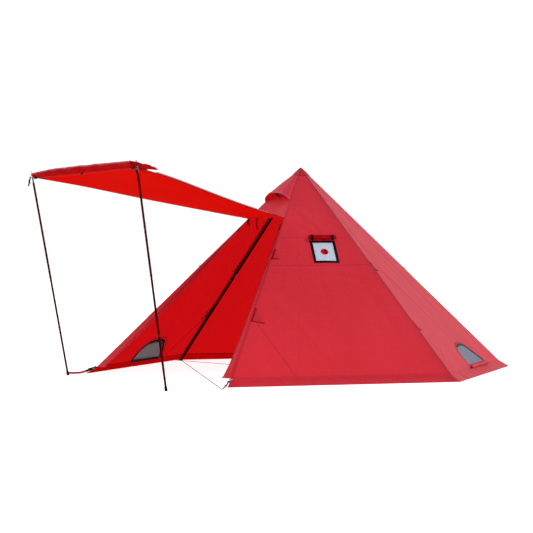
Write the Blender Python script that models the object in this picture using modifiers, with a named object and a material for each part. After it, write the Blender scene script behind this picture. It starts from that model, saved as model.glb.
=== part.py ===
import bpy
import bmesh
from math import cos, hypot, pi, sin, tan
from mathutils import Matrix, Vector

# Tipi tent with its door raised as an awning. Metres, +Z up, the door faces -Y.
# Left and right are as seen from in front of the door.

# Cloth pyramid
cornerRadius = 2.0          # middle to the left and right hem corners
doorHalfWidth = 1.056       # half of the door side, and of the back side
doorReach = 1.740           # middle to the door side's hem
apexHeight = 2.017
hemHeight = 0.063
skirtSpread = 0.107         # how far the skirt's corners lie outside the hem's
clothThickness = 0.002
clearance = 0.0003
crownOpening = 0.05         # down the slope from the apex to the start of the walls
capLength = 0.12
seamRoom = 0.0005           # left between pieces of cloth that fold against each other

# Door
rootDown = 0.685            # down the slope from the apex to the awning's root
rootRoom = 0.0008           # from the awning's hinge line to the cloth on each side of it
stripStart = 0.08           # below the root
stripTopWidth = 0.014
stripBottomWidth = 0.13
zipWidth = 0.008
zipThickness = 0.002
sliderLength = 0.030
sliderWidth = 0.014
sliderNeck = 0.0095
pullWidth = 0.0035
sliderHeight = 0.004
sliderStart = 0.13          # below the root
pullLength = 0.028

# Awning
awningReach = 2.564         # middle to the raised hem
awningHeight = 1.868        # the raised hem above the ground
awningHemHalfWidth = 0.8355
awningRootMargin = 0.003    # from the ridge to the awning's edge at the root
awningSag = 0.025
rightEdgeDroop = 0.018
droopAt = 0.25              # where along the right edge it droops most, from the root
hemSkirtOut = 0.075
hemSkirtRise = 0.052
hemSkirtLeftRise = 0.029    # at its left end, where it lies flatter
hemSkirtEven = 0.55         # it flattens past this share of its half width
hemSkirtFolds = 6
hemSkirtFoldDepth = 0.009
hemSkirtFoldRise = 0.004
hemSkirtBulge = 0.010
hemSkirtShift = 0.8         # turns the folds' wave so that no fold starts in the middle

# Awning poles
poleRadius = 0.0095
poleWall = 0.0012
poleTopX = 0.846            # middle to the pole's axis at the awning's corner
rightPoleFoot = (1.026, -2.410)
leftPoleFoot = (-1.056, -2.064)
sectionCount = 4
spigotLength = 0.06
ferruleRadius = 0.007
ferruleLength = 0.045
spikeRadius = 0.003
spikeLength = 0.060
shoulderRadius = 0.010      # the awning's corner rests on the tip's shoulder, round the spike
shoulderHeight = 0.003
footRadius = 0.0125
footHeight = 0.035
footFloor = 0.008

# Inner frame
legSpread = 2.03            # middle to where a leg's axis meets the ground
pinSpread = 0.03            # middle to a hinge pin
pinDrop = 0.082             # from the apex down to the hinge pins
pinRadius = 0.003
pinHeadRadius = 0.005
pinHeadLength = 0.002
upperLegRadius = 0.0115
lowerLegRadius = 0.0100
legWall = 0.0012
upperLegLength = 1.42
legOverlap = 0.12
legEndPastPin = 0.012
collarRadius = 0.0150
collarGrip = 0.030          # length of the collar on the upper leg
collarLip = 0.016           # length of the collar on the lower leg
earThickness = 0.003
earRoom = 0.0015
hubTop = 0.030              # from the apex down to the hub's top
hubBottom = 0.075
bootRadius = 0.014
bootLength = 0.060
bootFloor = 0.012
padRadius = 0.022
padHeight = 0.007

# Stove jack on the right front wall, measured down the slope and to the right
jackDown = 1.146
jackSide = 0.050
jackWidth = 0.245
jackHeight = 0.272
jackWebbing = 0.025
jackPanelThickness = 0.0015
jackMargin = 0.010          # the fireproof panel reaches past the wall's opening
pipeHoleRadius = 0.040
flapRadius = 0.022
flapSquash = 0.8
flapOverhang = 0.010
flapGap = 0.010
flapStrapWidth = 0.020
flapStrapThickness = 0.0015

# Rolled cloth
rollWaist = 0.90            # a roll's narrowest radius as a share of its widest
rollSwells = 5

# Low vents
ventWidth = 0.65
ventHeight = 0.29
ventShoulder = 0.19         # height of the upright side
ventHeel = 0.05             # height of the short side, where the slanted edge starts
ventTopIn = 0.145           # from the upright side to the flat top
ventTopLength = 0.26
ventAboveHem = 0.014
ventCorner = 0.025
ventRound = 0.09
rightVentSide = 0.17
leftVentSide = 0.0
netThickness = 0.001
netMargin = 0.012
netAboveHem = 0.008
coverRadius = 0.016
coverOverhang = 0.03

# Top vent, its hood and prop
topVentBottomWidth = 0.20
topVentTopWidth = 0.11
topVentTop = 0.24
topVentBottom = 0.39
topVentCorner = 0.03
hoodStart = 0.128
hoodEnd = 0.435
hoodHeight = 0.092
hoodMargin = 0.004
propDown = 0.412
propWidth = 0.012
propThickness = 0.002
propPinRadius = 0.002
propRoom = 0.0010           # from the prop's top to the middle of the hood's cloth, past its half

# Straps and cords
strapWidth = 0.025
strapThickness = 0.002
cornerStrapWidth = 0.015
buckleFromCorner = 0.07
strapEndRoom = 0.004        # from the ground strap's ends to the skirt over them
cordRadius = 0.0022
footCordRadius = 0.005      # the thick red cord between the left peg and the pole's foot
cordFromFoot = 0.09         # along the ground strap, from the left foot to the corner cord
cordEndRoom = 0.030         # from the peg point to the corner cord's end
rightPeg = (1.266, -2.005)
leftPeg = (-1.173, -1.987)
buckleLength = 0.026
buckleWidth = 0.022
buckleThickness = 0.005

# Counts that set how round things are
tubeSteps = 20
smallSteps = 12
flapSteps = 16
rollSteps = 14
floorCutter = 0.2

collection = bpy.data.collections.new("tipi_tent")
cutters = bpy.data.collections.new("cutters")
for old in list(bpy.data.objects):
    bpy.data.objects.remove(old)
for made in (collection, cutters):
    bpy.context.scene.collection.children.link(made)


def material(name, color, roughness, metallic=0.0):
    made = bpy.data.materials.new(name)
    made.use_nodes = True
    shader = made.node_tree.nodes["Principled BSDF"]
    shader.inputs["Base Color"].default_value = (*color, 1.0)
    shader.inputs["Roughness"].default_value = roughness
    shader.inputs["Metallic"].default_value = metallic
    made.diffuse_color = (*color, 1.0)
    return made


finishes = {
    "cloth": ((0.58, 0.030, 0.045), 0.75, 0.0),
    "shade": ((0.60, 0.012, 0.016), 0.75, 0.0),
    "net": ((0.27, 0.31, 0.38), 0.9, 0.0),
    "webbing": ((0.012, 0.012, 0.016), 0.8, 0.0),
    "fireproof": ((0.52, 0.63, 0.78), 0.6, 0.0),
    "maroon": ((0.065, 0.004, 0.004), 0.35, 1.0),
    "black": ((0.010, 0.010, 0.011), 0.4, 1.0),
    "plastic": ((0.012, 0.012, 0.013), 0.5, 0.0),
    "redPlastic": ((0.60, 0.010, 0.010), 0.4, 0.0),
    "steel": ((0.55, 0.56, 0.58), 0.3, 1.0),
    "rubber": ((0.015, 0.015, 0.015), 0.85, 0.0),
    "greyCord": ((0.06, 0.055, 0.055), 0.85, 0.0),
    "brownCord": ((0.045, 0.012, 0.010), 0.85, 0.0)}

# The box of the whole tent is centred on the origin
skirtShare = 1 + skirtSpread / cornerRadius
frontEdge = awningReach + hemSkirtOut
backEdge = doorReach * skirtShare
centreShift = (frontEdge - backEdge) / 2


# Carriers: one empty on each joint's axis, with the tent's own at the middle of the pyramid
pivots = {}


def carrier(name, pivot, parent=None):
    made = bpy.data.objects.new(name, None)
    made.empty_display_size = 0.1
    collection.objects.link(made)
    pivots[name] = Vector(pivot)
    if parent:
        made.parent = parent
        made.location = pivots[name] - pivots[parent.name]
    else:
        made.location = (0, centreShift, 0)
    return made


def place(piece, matrix, parent, finish):
    collection.objects.link(piece)
    piece.parent = parent
    piece.matrix_basis = Matrix.Translation(-pivots[parent.name]) @ matrix
    piece.data.materials.append(material(piece.name, *finishes[finish]))
    return piece


def faceFrame(origin, toRight, toTop):
    across = (toRight - origin).normalized()
    outward = across.cross(toTop - origin).normalized()
    upward = outward.cross(across)
    turned = Matrix((across, upward, outward)).transposed().to_4x4()
    return Matrix.Translation(origin) @ turned


def alongFrame(start, end):
    turned = (end - start).to_track_quat("Z", "Y").to_matrix().to_4x4()
    return Matrix.Translation(start) @ turned


def lifted(height):
    return Matrix.Translation((0, 0, height))


def flatten(frame, point):
    local = frame.inverted() @ point
    return (local.x, local.y)


# Flat cloth, webbing and plates: an outline in the piece's own plane, given its thickness
def plate(name, frame, outlines, thickness, parent, finish):
    curve = bpy.data.curves.new(name, "CURVE")
    curve.dimensions = "2D"
    curve.fill_mode = "BOTH"
    curve.extrude = thickness / 2
    for outline in outlines:
        spline = curve.splines.new("POLY")
        spline.points.add(len(outline) - 1)
        for point, (x, y) in zip(spline.points, outline):
            point.co = (x, y, 0, 1)
        spline.use_cyclic_u = True
    return place(bpy.data.objects.new(name, curve), frame, parent, finish)


def trimmed(points, distances):
    lines = []
    for start, end, distance in zip(points, points[1:] + points[:1], distances):
        dx, dy = end[0] - start[0], end[1] - start[1]
        length = hypot(dx, dy)
        lines.append((start[0] - dy / length * distance, start[1] + dx / length * distance, dx, dy))
    corners = []
    for before, after in zip(lines[-1:] + lines[:-1], lines):
        cross = before[2] * after[3] - before[3] * after[2]
        offset = (after[0] - before[0]) * after[3] - (after[1] - before[1]) * after[2]
        share = offset / cross
        corners.append((before[0] + before[2] * share, before[1] + before[3] * share))
    return corners


def rounded(points, radius, steps=5):
    outline = []
    radii = radius if isinstance(radius, list) else [radius] * len(points)
    for before, corner, after, radius in zip(points[-1:] + points[:-1], points,
                                             points[1:] + points[:1], radii):
        corner = Vector(corner)
        start = corner + (Vector(before) - corner).normalized() * radius
        end = corner + (Vector(after) - corner).normalized() * radius
        for step in range(steps + 1):
            share = step / steps
            outline.append(tuple(start.lerp(corner, share).lerp(corner.lerp(end, share), share)))
    return outline


def mirrored(points):
    return [(-x, y) for x, y in reversed(points)]


def circle(x, y, radius, steps):
    return [(x + radius * cos(2 * pi * step / steps), y + radius * sin(2 * pi * step / steps))
            for step in range(steps)]


def box(width, height, x=0.0, y=0.0):
    return [(x - width / 2, y - height / 2), (x + width / 2, y - height / 2),
            (x + width / 2, y + height / 2), (x - width / 2, y + height / 2)]


# Curved cloth: a grid laid on a surface, given its thickness
def sheet(name, surface, rows, columns, thickness, parent, finish):
    mesh = bpy.data.meshes.new(name)
    grid = bmesh.new()
    bmesh.ops.create_grid(grid, x_segments=columns, y_segments=rows, size=0.5)
    for vert in grid.verts:
        vert.co = surface(vert.co.y + 0.5, vert.co.x * 2)
    grid.to_mesh(mesh)
    grid.free()
    mesh.shade_smooth()
    made = place(bpy.data.objects.new(name, mesh), Matrix.Identity(4), parent, finish)
    solid = made.modifiers.new("thickness", "SOLIDIFY")
    solid.thickness = thickness
    solid.offset = 0
    solid.use_even_offset = True
    return made


# Turned pieces: a closed profile of (radius, height) spun about the piece's own Z axis
def turned(name, frame, profile, parent, finish, steps=tubeSteps):
    mesh = bpy.data.meshes.new(name)
    outline = bmesh.new()
    verts = [outline.verts.new((radius, 0, height)) for radius, height in profile]
    hollow = min(radius for radius, height in profile) > 0
    pairs = list(zip(verts, verts[1:])) + ([(verts[-1], verts[0])] if hollow else [])
    for pair in pairs:
        outline.edges.new(pair)
    outline.to_mesh(mesh)
    outline.free()
    made = place(bpy.data.objects.new(name, mesh), frame, parent, finish)
    spin = made.modifiers.new("spin", "SCREW")
    spin.steps = steps
    spin.render_steps = steps
    spin.use_merge_vertices = True
    spin.merge_threshold = 0.00001
    return made


def tube(outer, inner, low, high):
    return [(outer, high), (outer, low), (inner, low), (inner, high)]


def rod(radius, low, high):
    return [(0, high), (radius, high), (radius, low), (0, low)]


def cutterRod(name, frame, radius, low, high, parent):
    made = turned(name, frame, rod(radius, low, high), parent, "steel")
    collection.objects.unlink(made)
    cutters.objects.link(made)
    made.hide_render = True
    made.display_type = "WIRE"
    return made


def block(name, frame, size, parent, finish):
    mesh = bpy.data.meshes.new(name)
    cube = bmesh.new()
    bmesh.ops.create_cube(cube, size=1.0, matrix=Matrix.Diagonal((*size, 1)))
    cube.to_mesh(mesh)
    cube.free()
    return place(bpy.data.objects.new(name, mesh), frame, parent, finish)


def cutterBox(name, frame, size, parent):
    made = block(name, frame, size, parent, "steel")
    collection.objects.unlink(made)
    cutters.objects.link(made)
    made.hide_render = True
    made.display_type = "WIRE"
    return made


def combine(piece, other, operation):
    step = piece.modifiers.new(other.name, "BOOLEAN")
    step.operation = operation
    step.object = other
    step.solver = "EXACT"
    return step


# Corners of the pyramid, counterclockwise from above, starting with the door's left one
apex = Vector((0, 0, apexHeight))
plan = {
    "doorLeft": (-doorHalfWidth, -doorReach), "doorRight": (doorHalfWidth, -doorReach),
    "right": (cornerRadius, 0), "backRight": (doorHalfWidth, doorReach),
    "backLeft": (-doorHalfWidth, doorReach), "left": (-cornerRadius, 0)}
hem = {name: Vector((x, y, hemHeight)) for name, (x, y) in plan.items()}
ground = {name: Vector((x * skirtShare, y * skirtShare, 0)) for name, (x, y) in plan.items()}
sides = {
    "door": ("doorLeft", "doorRight"), "right_front": ("doorRight", "right"),
    "right_back": ("right", "backRight"), "back": ("backRight", "backLeft"),
    "left_back": ("backLeft", "left"), "left_front": ("left", "doorLeft")}
order = list(sides)


# A wall's frame starts at the apex: x runs along the hem to the right, y up the slope, z outward
def wallFrame(side):
    left, right = (hem[corner] for corner in sides[side])
    frame = faceFrame(left, right, apex)
    frame.translation = apex
    return frame


def skirtFrame(side):
    left, right = sides[side]
    return faceFrame(ground[left], ground[right], hem[left])


walls = {side: wallFrame(side) for side in sides}
skirts = {side: skirtFrame(side) for side in sides}


def outward(frame):
    return frame.to_3x3() @ Vector((0, 0, 1))


# Two sheets that meet at a fold are cut back so that their inner edges stay apart
def foldCut(frameA, frameB):
    half = outward(frameA).angle(outward(frameB)) / 2
    return clothThickness / 2 * tan(half) + clearance / 2 / cos(half)


def neighbour(side, step):
    return order[(order.index(side) + step) % len(order)]


def slopeLength(side):
    left, right = (walls[side].inverted() @ hem[corner] for corner in sides[side])
    return -left.y


def ridgePoint(side, corner, down):
    local = walls[side].inverted() @ hem[corner]
    return (local.x * down / -local.y, -down)


tent = carrier("tent_frame", (0, 0, 0))
rootDrop = rootDown / slopeLength("door")
rootLine = apex.lerp((hem["doorLeft"] + hem["doorRight"]) / 2, rootDrop)
rootHalfWidth = doorHalfWidth * rootDrop
awningHinge = carrier("awning_hinge", rootLine, tent)
halfCloth = clothThickness / 2
onCloth = halfCloth + clearance


# Walls with their openings
def wall(side, openings=()):
    left, right = sides[side]
    frame = walls[side]
    length = slopeLength(side)
    corners = [ridgePoint(side, left, length), ridgePoint(side, right, length),
               ridgePoint(side, right, crownOpening), ridgePoint(side, left, crownOpening)]
    cuts = [foldCut(frame, skirts[side]), foldCut(frame, walls[neighbour(side, 1)]), 0,
            foldCut(frame, walls[neighbour(side, -1)])]
    outlines = [trimmed(corners, cuts)] + list(openings)
    return plate(side + "_wall", frame, outlines, clothThickness, tent, "cloth")


# A low vent has one upright side and one slanted side; turn is 1 where the slanted one is right
def ventOutline(side, middle, turn, margin=0.0):
    bottom = -slopeLength(side) + ventAboveHem
    upright = -ventWidth / 2
    corners = [(upright, 0), (-upright, 0), (-upright, ventHeel),
               (upright + ventTopIn + ventTopLength, ventHeight), (upright + ventTopIn, ventHeight),
               (upright, ventShoulder)]
    radii = [ventCorner] * 3 + [ventRound] * 3
    outline = rounded(trimmed(corners, [-margin] * 6), radii)
    if turn < 0:
        outline = mirrored(outline)
    return [(middle + x, bottom + y) for x, y in outline]


jackOpening = box(jackWidth - 2 * (jackWebbing + jackMargin),
                  jackHeight - 2 * (jackWebbing + jackMargin), jackSide, -jackDown)
wall("right_front", [jackOpening])
wall("right_back", [ventOutline("right_back", rightVentSide, 1)])
wall("back")
wall("left_back")
wall("left_front", [ventOutline("left_front", leftVentSide, -1)])


def lowVent(side, name, middle, turn):
    frame = walls[side]
    net = frame @ lifted(-halfCloth - clearance - netThickness / 2)
    lowest = netAboveHem - slopeLength(side)
    netOutline = [(x, max(y, lowest)) for x, y in ventOutline(side, middle, turn, netMargin)]
    plate(name + "_vent_mesh", net, [netOutline], netThickness, tent, "net")
    low = -slopeLength(side) + ventAboveHem
    reach = ventWidth / 2 + coverOverhang
    height = onCloth + coverRadius
    start = frame @ Vector((middle - reach, low, height))
    end = frame @ Vector((middle + reach, low, height))
    turned(name + "_vent_cover", alongFrame(start, end), rollProfile(coverRadius, 2 * reach),
           tent, "cloth", smallSteps)


# A roll of cloth: a spindle that is a little fuller between its creases
def rollProfile(radius, length):
    sideline = []
    for step in range(rollSteps + 1):
        share = step / rollSteps
        waist = rollWaist + (1 - rollWaist) * sin(rollSwells * pi * share) ** 2
        sideline.append((radius * waist, length * (1 - share)))
    return [(0, length)] + sideline + [(0, 0)]


lowVent("right_back", "right", rightVentSide, 1)
lowVent("left_front", "left", leftVentSide, -1)


# Skirts, cut so that their lower edges rest on the ground
def skirt(side):
    left, right = sides[side]
    frame = skirts[side]
    slope = outward(frame)
    rise = hypot(slope.x, slope.y)
    groundCut = halfCloth * slope.z / rise
    corners = [flatten(frame, point) for point in
               (ground[left], ground[right], hem[right], hem[left])]
    rightCut = 0 if neighbour(side, 1) == "door" else foldCut(frame, skirts[neighbour(side, 1)])
    leftCut = 0 if neighbour(side, -1) == "door" else foldCut(frame, skirts[neighbour(side, -1)])
    cuts = [groundCut, rightCut, foldCut(frame, walls[side]), leftCut]
    plate(side + "_skirt", frame, [trimmed(corners, cuts)], clothThickness, tent, "cloth")


for side in order[1:]:
    skirt(side)


# Door header with the top vent, and the storm strips beside the door
door = walls["door"]
doorLength = slopeLength("door")
topVent = [(-topVentBottomWidth / 2, -topVentBottom), (topVentBottomWidth / 2, -topVentBottom),
           (topVentTopWidth / 2, -topVentTop), (-topVentTopWidth / 2, -topVentTop)]
headerCorners = [ridgePoint("door", "doorLeft", rootDown), ridgePoint("door", "doorRight", rootDown),
                 ridgePoint("door", "doorRight", crownOpening),
                 ridgePoint("door", "doorLeft", crownOpening)]
doorRidgeCut = foldCut(door, walls["right_front"])
headerOutline = trimmed(headerCorners, [rootRoom, doorRidgeCut, 0, doorRidgeCut])
plate("door_header", door, [headerOutline, rounded(topVent, topVentCorner)],
      clothThickness, tent, "cloth")

netOutline = trimmed(topVent, [-netMargin] * 4)
plate("top_vent_mesh", door @ lifted(-halfCloth - clearance - netThickness / 2),
      [rounded(netOutline, topVentCorner)], netThickness, tent, "net")

stripTop = rootDown + stripStart
outerTop = ridgePoint("door", "doorRight", stripTop)
outerBottom = ridgePoint("door", "doorRight", doorLength)
innerTop = (outerTop[0] - stripTopWidth, outerTop[1])
innerBottom = (outerBottom[0] - stripBottomWidth, outerBottom[1])
stripOutline = trimmed([innerBottom, outerBottom, outerTop, innerTop], [0, doorRidgeCut, 0, 0])
zipOutline = trimmed(
    [(innerBottom[0] - zipWidth, innerBottom[1]), innerBottom, innerTop,
     (innerTop[0] - zipWidth, innerTop[1])], [0, clearance, 0, 0])
for name, flip in (("right", lambda points: points), ("left", mirrored)):
    plate(name + "_storm_strip", door, [flip(stripOutline)], clothThickness, tent, "cloth")
    plate(name + "_door_zip", door, [flip(zipOutline)], zipThickness, tent, "webbing")


# Peak cap: a small pyramid shell on top of the walls. A six-sided cone takes the walls' corners.
def hexCone(name, top, bottom, shift, parent, finish, closed):
    length = slopeLength("door")
    mesh = bpy.data.meshes.new(name)
    cone = bmesh.new()
    bmesh.ops.create_cone(cone, cap_ends=closed, segments=6, radius1=1.0,
                          radius2=0.5 if top else 0.0, depth=2.0,
                          matrix=Matrix.Rotation(pi / 6, 4, "Z"))
    bmesh.ops.remove_doubles(cone, verts=cone.verts, dist=0.0001)
    for vert in cone.verts:
        down = bottom if vert.co.z < 0 else top
        spread = down / length
        corner = (0.0, 0.0)
        if hypot(vert.co.x, vert.co.y) > 0.1:
            corner = min(plan.values(), key=lambda spot: hypot(
                spot[0] / cornerRadius - vert.co.x / hypot(vert.co.x, vert.co.y),
                spot[1] / cornerRadius - vert.co.y / hypot(vert.co.x, vert.co.y)))
        vert.co = (corner[0] * spread, corner[1] * spread,
                   apexHeight - (apexHeight - hemHeight) * spread + shift)
    cone.to_mesh(mesh)
    cone.free()
    return place(bpy.data.objects.new(name, mesh), Matrix.Identity(4), parent, finish)


clothRise = 1 / outward(door).z
cap = hexCone("peak_cap", 0, capLength, (clothThickness + clearance) * clothRise, tent,
              "cloth", False)
capThickness = cap.modifiers.new("thickness", "SOLIDIFY")
capThickness.thickness = clothThickness
capThickness.offset = 0
capThickness.use_even_offset = True


# Hood: a half cone of cloth that stands open over the top vent
def hoodPoint(share, across):
    down = hoodStart + (hoodEnd - hoodStart) * (1 - share)
    half = ridgePoint("door", "doorRight", down)[0] - hoodMargin
    height = hoodHeight * (down - crownOpening) / (hoodEnd - crownOpening)
    angle = across * pi / 2
    return door @ Vector((half * sin(angle), -down, height * cos(angle) + onCloth))


sheet("vent_hood", hoodPoint, 8, 16, clothThickness, tent, "cloth")

# Hood prop: a stiff strut on a small pin at the vent's lower edge, with its toggle
propFoot = door @ Vector((0, -propDown, onCloth + propPinRadius))
propHinge = carrier("hood_prop_hinge", propFoot, tent)
propFrame = walls["door"].copy()
propFrame.translation = propFoot
propHeight = (hoodHeight * (propDown - crownOpening) / (hoodEnd - crownOpening)
              - propPinRadius - halfCloth - propRoom)
propUp = propFrame @ Matrix.Rotation(pi / 2, 4, "X")
propOutline = box(propWidth, propHeight + propPinRadius, 0, (propHeight - propPinRadius) / 2)
strut = plate("hood_prop", propUp, [propOutline], propThickness, propHinge, "plastic")

# Stove jack: fireproof panel over the wall's opening, webbing frame round it
frontWall = walls["right_front"]
panelLift = onCloth + jackPanelThickness / 2
frameLift = onCloth + jackPanelThickness + clearance + strapThickness / 2
panelOutline = box(jackWidth - jackWebbing, jackHeight - jackWebbing, jackSide, -jackDown)
plate("stove_jack_panel", frontWall @ lifted(panelLift),
      [panelOutline, circle(jackSide, -jackDown, pipeHoleRadius, 32)],
      jackPanelThickness, tent, "fireproof")
plate("stove_jack_frame", frontWall @ lifted(frameLift),
      [box(jackWidth, jackHeight, jackSide, -jackDown),
       box(jackWidth - 2 * jackWebbing, jackHeight - 2 * jackWebbing, jackSide, -jackDown)],
      strapThickness, tent, "webbing")

# The rain flap is rolled up above the jack and held by two straps
flapY = -jackDown + jackHeight / 2 + flapGap + flapRadius
flapLength = jackWidth + 2 * flapOverhang
flapLift = onCloth + flapRadius * flapSquash
flapStart = frontWall @ Vector((jackSide - flapLength / 2, flapY, flapLift))
flapEnd = frontWall @ Vector((jackSide + flapLength / 2, flapY, flapLift))
flapFrame = faceFrame(flapStart, frontWall @ Vector((jackSide - flapLength / 2, flapY + 1, flapLift)),
                      frontWall @ Vector((jackSide - flapLength / 2, flapY, flapLift + 1)))
flapFrame = flapFrame @ Matrix.Diagonal((1, flapSquash, 1, 1))
turned("stove_jack_flap", flapFrame, rollProfile(flapRadius, flapLength), tent, "cloth", flapSteps)


def flapStrap(name, side):
    inner = flapRadius + clearance * 2
    outer = inner + flapStrapThickness
    spread = [pi * step / smallSteps for step in range(smallSteps + 1)]
    foot = (flapLift - onCloth) / flapSquash
    arch = [(outer, -foot)] + [(outer * cos(a), outer * sin(a)) for a in spread] + [(-outer, -foot)]
    under = [(-inner, -foot)] + [(-inner * cos(a), inner * sin(a)) for a in spread] + [(inner, -foot)]
    outline = [(x, y * flapSquash) for x, y in arch + under]
    centre = frontWall @ Vector((side, flapY, flapLift))
    frame = faceFrame(centre, frontWall @ Vector((side, flapY + 1, flapLift)),
                      frontWall @ Vector((side, flapY, flapLift + 1)))
    return plate(name, frame, [outline], flapStrapWidth, tent, "webbing")


strapSide = jackWidth / 2 - jackWebbing
flapStrap("left_flap_strap", jackSide - strapSide)
flapStrap("right_flap_strap", jackSide + strapSide)

# Awning: the door panel, hinged along its root and held up by the poles
hemY = -awningReach
awningRootHalf = rootHalfWidth - awningRootMargin


def awningHeightAt(share, across):
    level = rootLine.z + (awningHeight - rootLine.z) * share
    sag = awningSag * 4 * share * (1 - share) * (1 - across ** 2)
    deepest = droopAt * (1 - droopAt) ** (1 / droopAt - 1)
    droop = rightEdgeDroop * share * (1 - share) ** (1 / droopAt - 1) / deepest * (1 + across) / 2
    return level - sag - droop


def awningHalf(share):
    return awningRootHalf + (awningHemHalfWidth - awningRootHalf) * share


def awningPoint(share, across):
    start = rootLine.y - rootRoom
    y = start + (hemY + seamRoom - start) * share
    return Vector((awningHalf(share) * across, y, awningHeightAt(share, across)))


def hemSkirtPoint(share, across):
    flattened = max(0.0, -across - hemSkirtEven) / (1 - hemSkirtEven)
    height = hemSkirtRise + (hemSkirtLeftRise - hemSkirtRise) * flattened
    wave = sin(hemSkirtFolds * pi * across + hemSkirtShift) * share
    bulge = hemSkirtBulge * (1 - across ** 2) * share
    y = hemY - seamRoom - (hemSkirtOut - hemSkirtFoldDepth) * share + wave * hemSkirtFoldDepth
    z = awningHeight + height * sin(share * pi / 2) + wave * hemSkirtFoldRise + bulge
    return Vector((awningHemHalfWidth * across, y, z))


sheet("awning_panel", awningPoint, 16, 16, clothThickness, awningHinge, "shade")
sheet("awning_hem_skirt", hemSkirtPoint, 4, 48, clothThickness, awningHinge, "shade")

# Awning poles. Each tips outwards over the front edge of its rubber foot.
def awningPole(name, turn, footSpot):
    corner = Vector((turn * poleTopX, hemY, awningHeight))
    foot = Vector((*footSpot, 0))
    lean = corner - foot
    tipEdge = footRadius * hypot(1, lean.y / lean.z)
    hinge = carrier(name + "_pole_hinge", foot - Vector((0, tipEdge, 0)), tent)
    frame = alongFrame(foot, corner)
    length = lean.length
    low = footFloor
    high = length - ferruleLength - shoulderHeight / 2
    span = (high - low - (sectionCount - 1) * clearance) / sectionCount
    inner = poleRadius - poleWall
    spigot = inner - clearance
    for index in range(sectionCount):
        start = low + index * (span + clearance)
        end = start + span
        profile = tube(poleRadius, inner, start, end)
        if index < sectionCount - 1:
            profile = [(spigot, end + spigotLength), (spigot, end), (poleRadius, end),
                       (poleRadius, start), (inner, start), (inner, end - spigotLength / 2),
                       (spigot - poleWall, end - spigotLength / 2),
                       (spigot - poleWall, end + spigotLength)]
        turned(f"{name}_pole_section_{index + 1}", frame, profile, hinge, "maroon")
    top = length - shoulderHeight / 2
    plug = high - ferruleLength
    shoulder = length + shoulderHeight / 2
    tipProfile = [(0, length + spikeLength), (spikeRadius / 2, length + spikeLength),
                  (spikeRadius, length + spikeLength - 2 * spikeRadius), (spikeRadius, shoulder),
                  (shoulderRadius, shoulder), (shoulderRadius, top), (ferruleRadius, top),
                  (ferruleRadius, high + clearance), (spigot, high + clearance), (spigot, plug),
                  (0, plug)]
    turned(name + "_pole_tip", frame, tipProfile, hinge, "steel")
    boot = [(0, low - clearance), (poleRadius + clearance, low - clearance),
            (poleRadius + clearance, footHeight), (footRadius, footHeight),
            (footRadius, -footRadius), (0, -footRadius)]
    rubber = turned(name + "_pole_foot", frame, boot, hinge, "rubber")
    below = Matrix.Translation(foot - Vector((0, 0, floorCutter / 2)))
    flat = cutterBox(name + "_pole_floor", below, (floorCutter,) * 3, hinge)
    combine(rubber, flat, "DIFFERENCE")


awningPole("right", 1, rightPoleFoot)
awningPole("left", -1, leftPoleFoot)

# Crown hub: a plug in the peak with two ears that carry the legs' pins
plugShift = -(halfCloth + clearance) * clothRise
hubLow = apexHeight - (apexHeight - hemHeight) * hubBottom / doorLength + plugShift
hub = hexCone("crown_hub", hubTop, hubBottom, plugShift, tent, "plastic", True)
pinHeight = apexHeight - pinDrop
earInner = upperLegRadius + earRoom
earLow = pinHeight - upperLegRadius
earHigh = hubLow + earThickness
earWidth = 2 * (pinSpread + upperLegRadius)
for turn in (1, -1):
    centre = Vector((0, turn * (earInner + earThickness / 2), (earLow + earHigh) / 2))
    ear = cutterBox("ear", Matrix.Translation(centre),
                    (earWidth, earThickness, earHigh - earLow), tent)
    combine(hub, ear, "UNION")
for name, turn in (("right", 1), ("left", -1)):
    pinFrame = alongFrame(Vector((turn * pinSpread, -1, pinHeight)),
                          Vector((turn * pinSpread, 1, pinHeight)))
    reach = earInner + earThickness + clearance
    bore = cutterRod("pin_bore", pinFrame, pinRadius + clearance, 1 - 2 * reach, 1 + 2 * reach, tent)
    combine(hub, bore, "DIFFERENCE")
    headEnd = reach + pinHeadLength
    profile = [(0, 1 + headEnd), (pinHeadRadius, 1 + headEnd), (pinHeadRadius, 1 + reach),
               (pinRadius, 1 + reach), (pinRadius, 1 - reach), (pinHeadRadius, 1 - reach),
               (pinHeadRadius, 1 - headEnd), (0, 1 - headEnd)]
    turned(name + "_crown_pin", pinFrame, profile, tent, "steel", smallSteps)


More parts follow.
